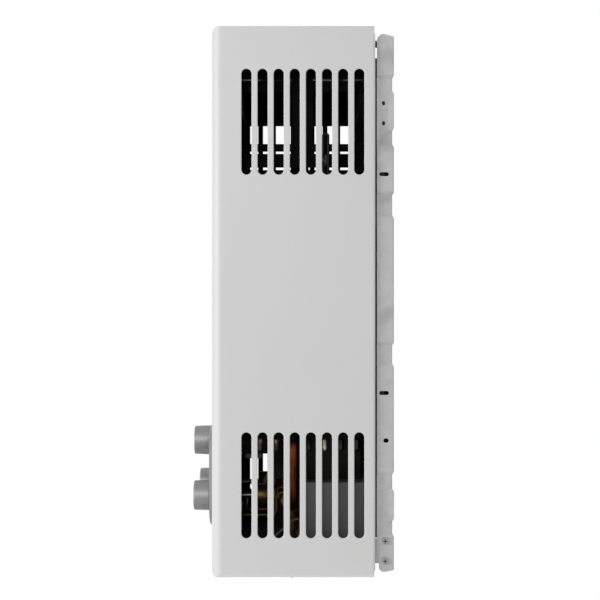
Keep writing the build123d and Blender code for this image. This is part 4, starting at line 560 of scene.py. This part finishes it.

# Bright ribs on the burner's skirts, some with painted shade where the light misses them, and a painted
# highlight along the bead of the hood
ribLook = {
    "colour": (0.64, 0.52, 0.43), "metallic": 1, "roughness": 0.42, "mottle": 0.2, "mottleScale": 90,
    "second": (0.10, 0.07, 0.05), "secondScale": 26, "secondFrom": 0.40, "secondTo": 0.58,
}
# Darker copy of the rib metal: painted shade on the ribs that the light misses
ribShade = {"colour": (0.055, 0.045, 0.038), "second": (0.012, 0.01, 0.008)}
# Lighter metal along the hood's bead: a painted highlight, broken by dark patches
beadHighlightLook = {
    "colour": (0.20, 0.20, 0.20), "metallic": 0.7, "roughness": 0.4, "mottle": 0.3, "mottleScale": 60,
    "second": (0.01, 0.01, 0.01), "secondScale": 30, "secondFrom": 0.42, "secondTo": 0.55,
}
ribCount = 7
shadedRibs = (3, 5, 6)  # counted from the front, from nought
proudStands = {"burner_frame": 0.003, "draft_hood": 0.0012}
proudBy = 0.0002


def paintProud(node, material):
    # Faces that stand out past the piece's side walls
    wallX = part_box(node)[1].x - proudStands[node]
    paintFaces(node, material, lambda face: abs(face.center.x) > wallX + proudBy)


# Painted shade: the listed ribs get the darker copy
def paintRibShade(node, material):
    # The row of ribs is split into equal shares, one for each rib
    ribs = [face.center.y for face in nodes[node].data.polygons if face.material_index == 1]
    front, rear = min(ribs), max(ribs)

    def shadedRib(face):
        share = (face.center.y - front) / (rear - front)
        return face.material_index == 1 and min(int(share * ribCount), ribCount - 1) in shadedRibs

    paintFaces(node, material, shadedRib)


paintProud("burner_frame", makeMaterial("ribMetal", ribLook))
paintRibShade("burner_frame", makeMaterial("ribShade", ribLook | ribShade))
paintProud("draft_hood", makeMaterial("beadHighlight", beadHighlightLook))

# Painted shade in the cross recess of each screw head on the flanges
recessShadeLook = {"colour": (0.02, 0.02, 0.02), "roughness": 0.6, "mottle": 0.2, "mottleScale": 300}
recessDepths = (0.0002, 0.0012)
recessReach = 0.0024


def paintRecess(node, material):
    low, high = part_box(node)
    middleY = (low.y + high.y) / 2
    headRadius = (high.y - low.y) / 2
    screwHeights = (low.z + headRadius, high.z - headRadius)

    def inRecess(face):
        depth = high.x - abs(face.center.x)
        reach = min(math.hypot(face.center.y - middleY, face.center.z - z) for z in screwHeights)
        return recessDepths[0] < depth < recessDepths[1] and reach < recessReach

    paintFaces(node, material, inRecess)


paintRecess("flange_screws", makeMaterial("recess", recessShadeLook))

# White line in the groove of each knob
pointerLook = {"colour": (0.70, 0.70, 0.69), "roughness": 0.5, "mottle": 0.06, "mottleScale": 200}
pointerDepths = (0.0003, 0.0012)
frontFacing = -0.9


def paintPointer(node, material):
    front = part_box(node)[0].y

    def inGroove(face):
        return face.normal.y < frontFacing and pointerDepths[0] < face.center.y - front < pointerDepths[1]

    paintFaces(node, material, inGroove)


pointerPaint = makeMaterial("pointerPaint", pointerLook)
for knobName in ("gas_knob", "water_knob", "season_knob"):
    paintPointer(knobName, pointerPaint)

# Colours of the leads by place: the two display feeds, the battery lead, and black for the rest
leadLooks = {
    "feedYellow": {"colour": (0.13, 0.085, 0.01), "roughness": 0.45, "mottle": 0.1, "mottleScale": 100},
    "feedRed": {"colour": (0.09, 0.006, 0.004), "roughness": 0.45, "mottle": 0.1, "mottleScale": 100},
    "batteryGrey": {"colour": (0.22, 0.19, 0.15), "roughness": 0.5, "mottle": 0.1, "mottleScale": 100},
}
feedBox = ((0.018, -0.171, -0.2226), (0.111, -0.094, -0.1915))
batteryLeadTop = -0.2245
feedSplit = {"x": 0.1065, "y": -0.1535, "bendX": 0.03, "endX": 0.0225}


def leadColour(place):
    if place.z < batteryLeadTop:
        return "batteryGrey"
    if any(not low <= value <= high for low, value, high in zip(feedBox[0], place, feedBox[1])):
        return "black"
    if place.x < feedSplit["bendX"]:
        return "feedYellow" if place.x < feedSplit["endX"] else "feedRed"
    return "feedYellow" if place.x > feedSplit["x"] or place.y < feedSplit["y"] else "feedRed"


for leadName, leadLook in leadLooks.items():
    leadPaint = makeMaterial(leadName, leadLook)
    paintFaces("wiring_leads", leadPaint, lambda face: leadColour(face.center) == leadName)
print("leads coloured")


# Extra pieces, all fixed to the casing
def addPiece(name, points, faces, material):
    mesh = bpy.data.meshes.new(name)
    mesh.from_pydata(points, [], faces)
    mesh.materials.append(material)
    piece = bpy.data.objects.new(name, mesh)
    bpy.context.scene.collection.objects.link(piece)
    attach(piece, "casing")
    return piece


# Dark ribbed strips inside the flanges: painted shade in the gap behind the cover
stripShadeLook = {
    "colour": (0.015, 0.015, 0.015), "roughness": 0.85, "mottle": 0.3, "mottleScale": 120, "grain": 0.4,
}
stripSpec = {
    "inner": 0.1560, "outer": 0.1572, "outs": (0.0095, 0.0245), "low": -0.2362, "high": 0.2443, "ribs": 5,
    "valley": 0.0004, "slot": "diaphragm_rubber",
}


def makeStrip(name, side, spec, material):
    # A ribbed outline, run up the flange
    outline = [(spec["outer"], spec["outs"][0]), (spec["outer"], spec["outs"][1])]
    ribStep = (spec["outs"][1] - spec["outs"][0]) / (2 * spec["ribs"])
    for step in range(2 * spec["ribs"] + 1):
        valley = spec["valley"] if step % 2 else 0
        outline.append((spec["inner"] + valley, spec["outs"][1] - step * ribStep))
    points = [(side * x, -out, z) for z in (spec["low"], spec["high"]) for x, out in outline]
    count = len(outline)
    faces = [(k, (k + 1) % count, count + (k + 1) % count, count + k) for k in range(count)]
    faces.append(tuple(range(count - 1, -1, -1)))
    faces.append(tuple(range(count, 2 * count)))
    if side > 0:
        faces = [face[::-1] for face in faces]  # outwards on the right as well
    addPiece(name, points, faces, material)


# Painted shade for the gap behind the cover
stripShade = makeMaterial("stripShade", stripShadeLook)
makeStrip("shadeStripRight", 1, stripSpec, stripShade)
makeStrip("shadeStripLeft", -1, stripSpec, stripShade)
print("shadeStrips added")

# Return spring of the push rod, with closed end turns
springSpec = {
    "node": "push_rod_spring", "slot": "stem_steel", "joint": "rod_slide", "wire": 0.0004, "turns": 6,
    "closed": 1, "steps": 24, "sides": 8,
}


def springRise(turn, spec, pitch):
    # Closed turns at both ends, and an even pitch between them
    openTurns = min(max(turn - spec["closed"], 0), spec["turns"] - 2 * spec["closed"])
    return openTurns * pitch + (turn - openTurns) * 2 * spec["wire"]


def makeSpring(spec):
    low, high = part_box(spec["node"])
    wire = spec["wire"]
    axis = Vector((1, 0, 0))
    foot = Vector((low.x + wire, (low.y + high.y) / 2, (low.z + high.z) / 2))
    coil = (high.z - low.z) / 2 - wire
    closedLength = 2 * spec["closed"] * 2 * wire
    pitch = (high.x - low.x - 2 * wire - closedLength) / (spec["turns"] - 2 * spec["closed"])
    rings = spec["turns"] * spec["steps"] + 1
    sides = spec["sides"]
    points = []
    for ring in range(rings):
        turn = ring / spec["steps"]
        angle = 2 * math.pi * turn
        out = Vector((0, math.cos(angle), math.sin(angle)))
        centre = foot + springRise(turn, spec, pitch) * axis + coil * out
        for side in range(sides):
            around = 2 * math.pi * side / sides
            points.append(centre + wire * (math.cos(around) * out + math.sin(around) * axis))
    faces = [tuple(range(sides)), tuple(range(rings * sides - 1, (rings - 1) * sides - 1, -1))]
    for ring in range(rings - 1):
        for side in range(sides):
            first, second = ring * sides + side, ring * sides + (side + 1) % sides
            faces.append((first, first + sides, second + sides, second))
    spring = addPiece("returnSpring", points, faces, materials[spec["slot"]])
    spring.data.shade_smooth()
    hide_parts(spec["node"])
    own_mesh(spring)


makeSpring(springSpec)
print("spring added")

# Printed ticks round the knobs, clockwise from the top, each longer than the last
tickLook = {"colour": (0.05, 0.05, 0.055), "roughness": 0.5, "mottle": 0.1, "mottleScale": 300, "grain": 0.05}
tickSpec = {"inner": 0.0185, "short": 0.0012, "width": 0.0009, "thick": 0.0001, "slot": "black_plastic"}
tickRings = {
    "gas_knob": {"start": 0, "sweep": 270, "count": 10, "long": 0.0036},
    "water_knob": {"start": 0, "sweep": 270, "count": 10, "long": 0.0036},
    "season_knob": {"start": 45, "sweep": 135, "count": 4, "long": 0.0028},
}


def makeTicks(node, ring, spec, material):
    low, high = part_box(node)
    thick = Vector((0, spec["thick"], 0))
    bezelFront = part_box("control_bezel")[0].y
    middle = Vector(((low.x + high.x) / 2, bezelFront, (low.z + high.z) / 2)) - thick
    points = []
    faces = []
    for step in range(ring["count"]):
        share = step / (ring["count"] - 1)
        angle = math.radians(ring["start"] + share * ring["sweep"])
        length = spec["short"] + share * (ring["long"] - spec["short"])
        out = Vector((math.sin(angle), 0, math.cos(angle)))
        across = Vector((math.cos(angle), 0, -math.sin(angle))) * spec["width"] / 2
        inner = middle + out * spec["inner"]
        outer = middle + out * (spec["inner"] + length)
        first = len(points)
        corners = [inner - across, inner + across, outer + across, outer - across]
        points += corners + [corner + thick for corner in corners]
        faces.append((first, first + 1, first + 2, first + 3))
        faces.append((first + 7, first + 6, first + 5, first + 4))
        for k in range(4):
            after = (k + 1) % 4
            faces.append((first + after, first + k, first + 4 + k, first + 4 + after))
    addPiece(node.replace("_knob", "Ticks"), points, faces, material)


tickInk = makeMaterial("tickInk", tickLook)
for knobName, knobRing in tickRings.items():
    makeTicks(knobName, knobRing, tickSpec, tickInk)
print("ticks added")

# Floor, far below as under a heater on a wall, fading out at its edge and clear from underneath
floorSpec = {"z": -1.15, "radius": 2.3, "fade": 0.8, "sides": 96}
floorLook = {"colour": (0.80, 0.80, 0.795), "roughness": 0.7, "mottle": 0.02, "mottleScale": 2, "grain": 0.02}


def makeFloor(spec, look):
    material = makeMaterial("floor", look)
    tree = material.node_tree
    place = tree.nodes.new("ShaderNodeTexCoord")
    reach = tree.nodes.new("ShaderNodeVectorMath")
    reach.operation = "LENGTH"
    fade = tree.nodes.new("ShaderNodeMapRange")
    fade.inputs["From Min"].default_value = spec["radius"]
    fade.inputs["From Max"].default_value = spec["radius"] - spec["fade"]
    tree.links.new(place.outputs["Object"], reach.inputs[0])
    tree.links.new(reach.outputs["Value"], fade.inputs["Value"])
    facing = tree.nodes.new("ShaderNodeNewGeometry")
    above = addMath(tree, "SUBTRACT", 1, facing.outputs["Backfacing"])
    alpha = addMath(tree, "MULTIPLY", fade.outputs["Result"], above)
    tree.links.new(alpha, tree.nodes["Principled BSDF"].inputs["Alpha"])
    mesh = bpy.data.meshes.new("floor")
    turns = [2 * math.pi * k / spec["sides"] for k in range(spec["sides"])]
    rim = [(spec["radius"] * math.cos(turn), spec["radius"] * math.sin(turn), 0) for turn in turns]
    mesh.from_pydata(rim, [], [tuple(range(spec["sides"]))])
    mesh.materials.append(material)
    floor = bpy.data.objects.new("floor", mesh)
    floor.location.z = spec["z"]
    bpy.context.scene.collection.objects.link(floor)


makeFloor(floorSpec, floorLook)
print("floor added")
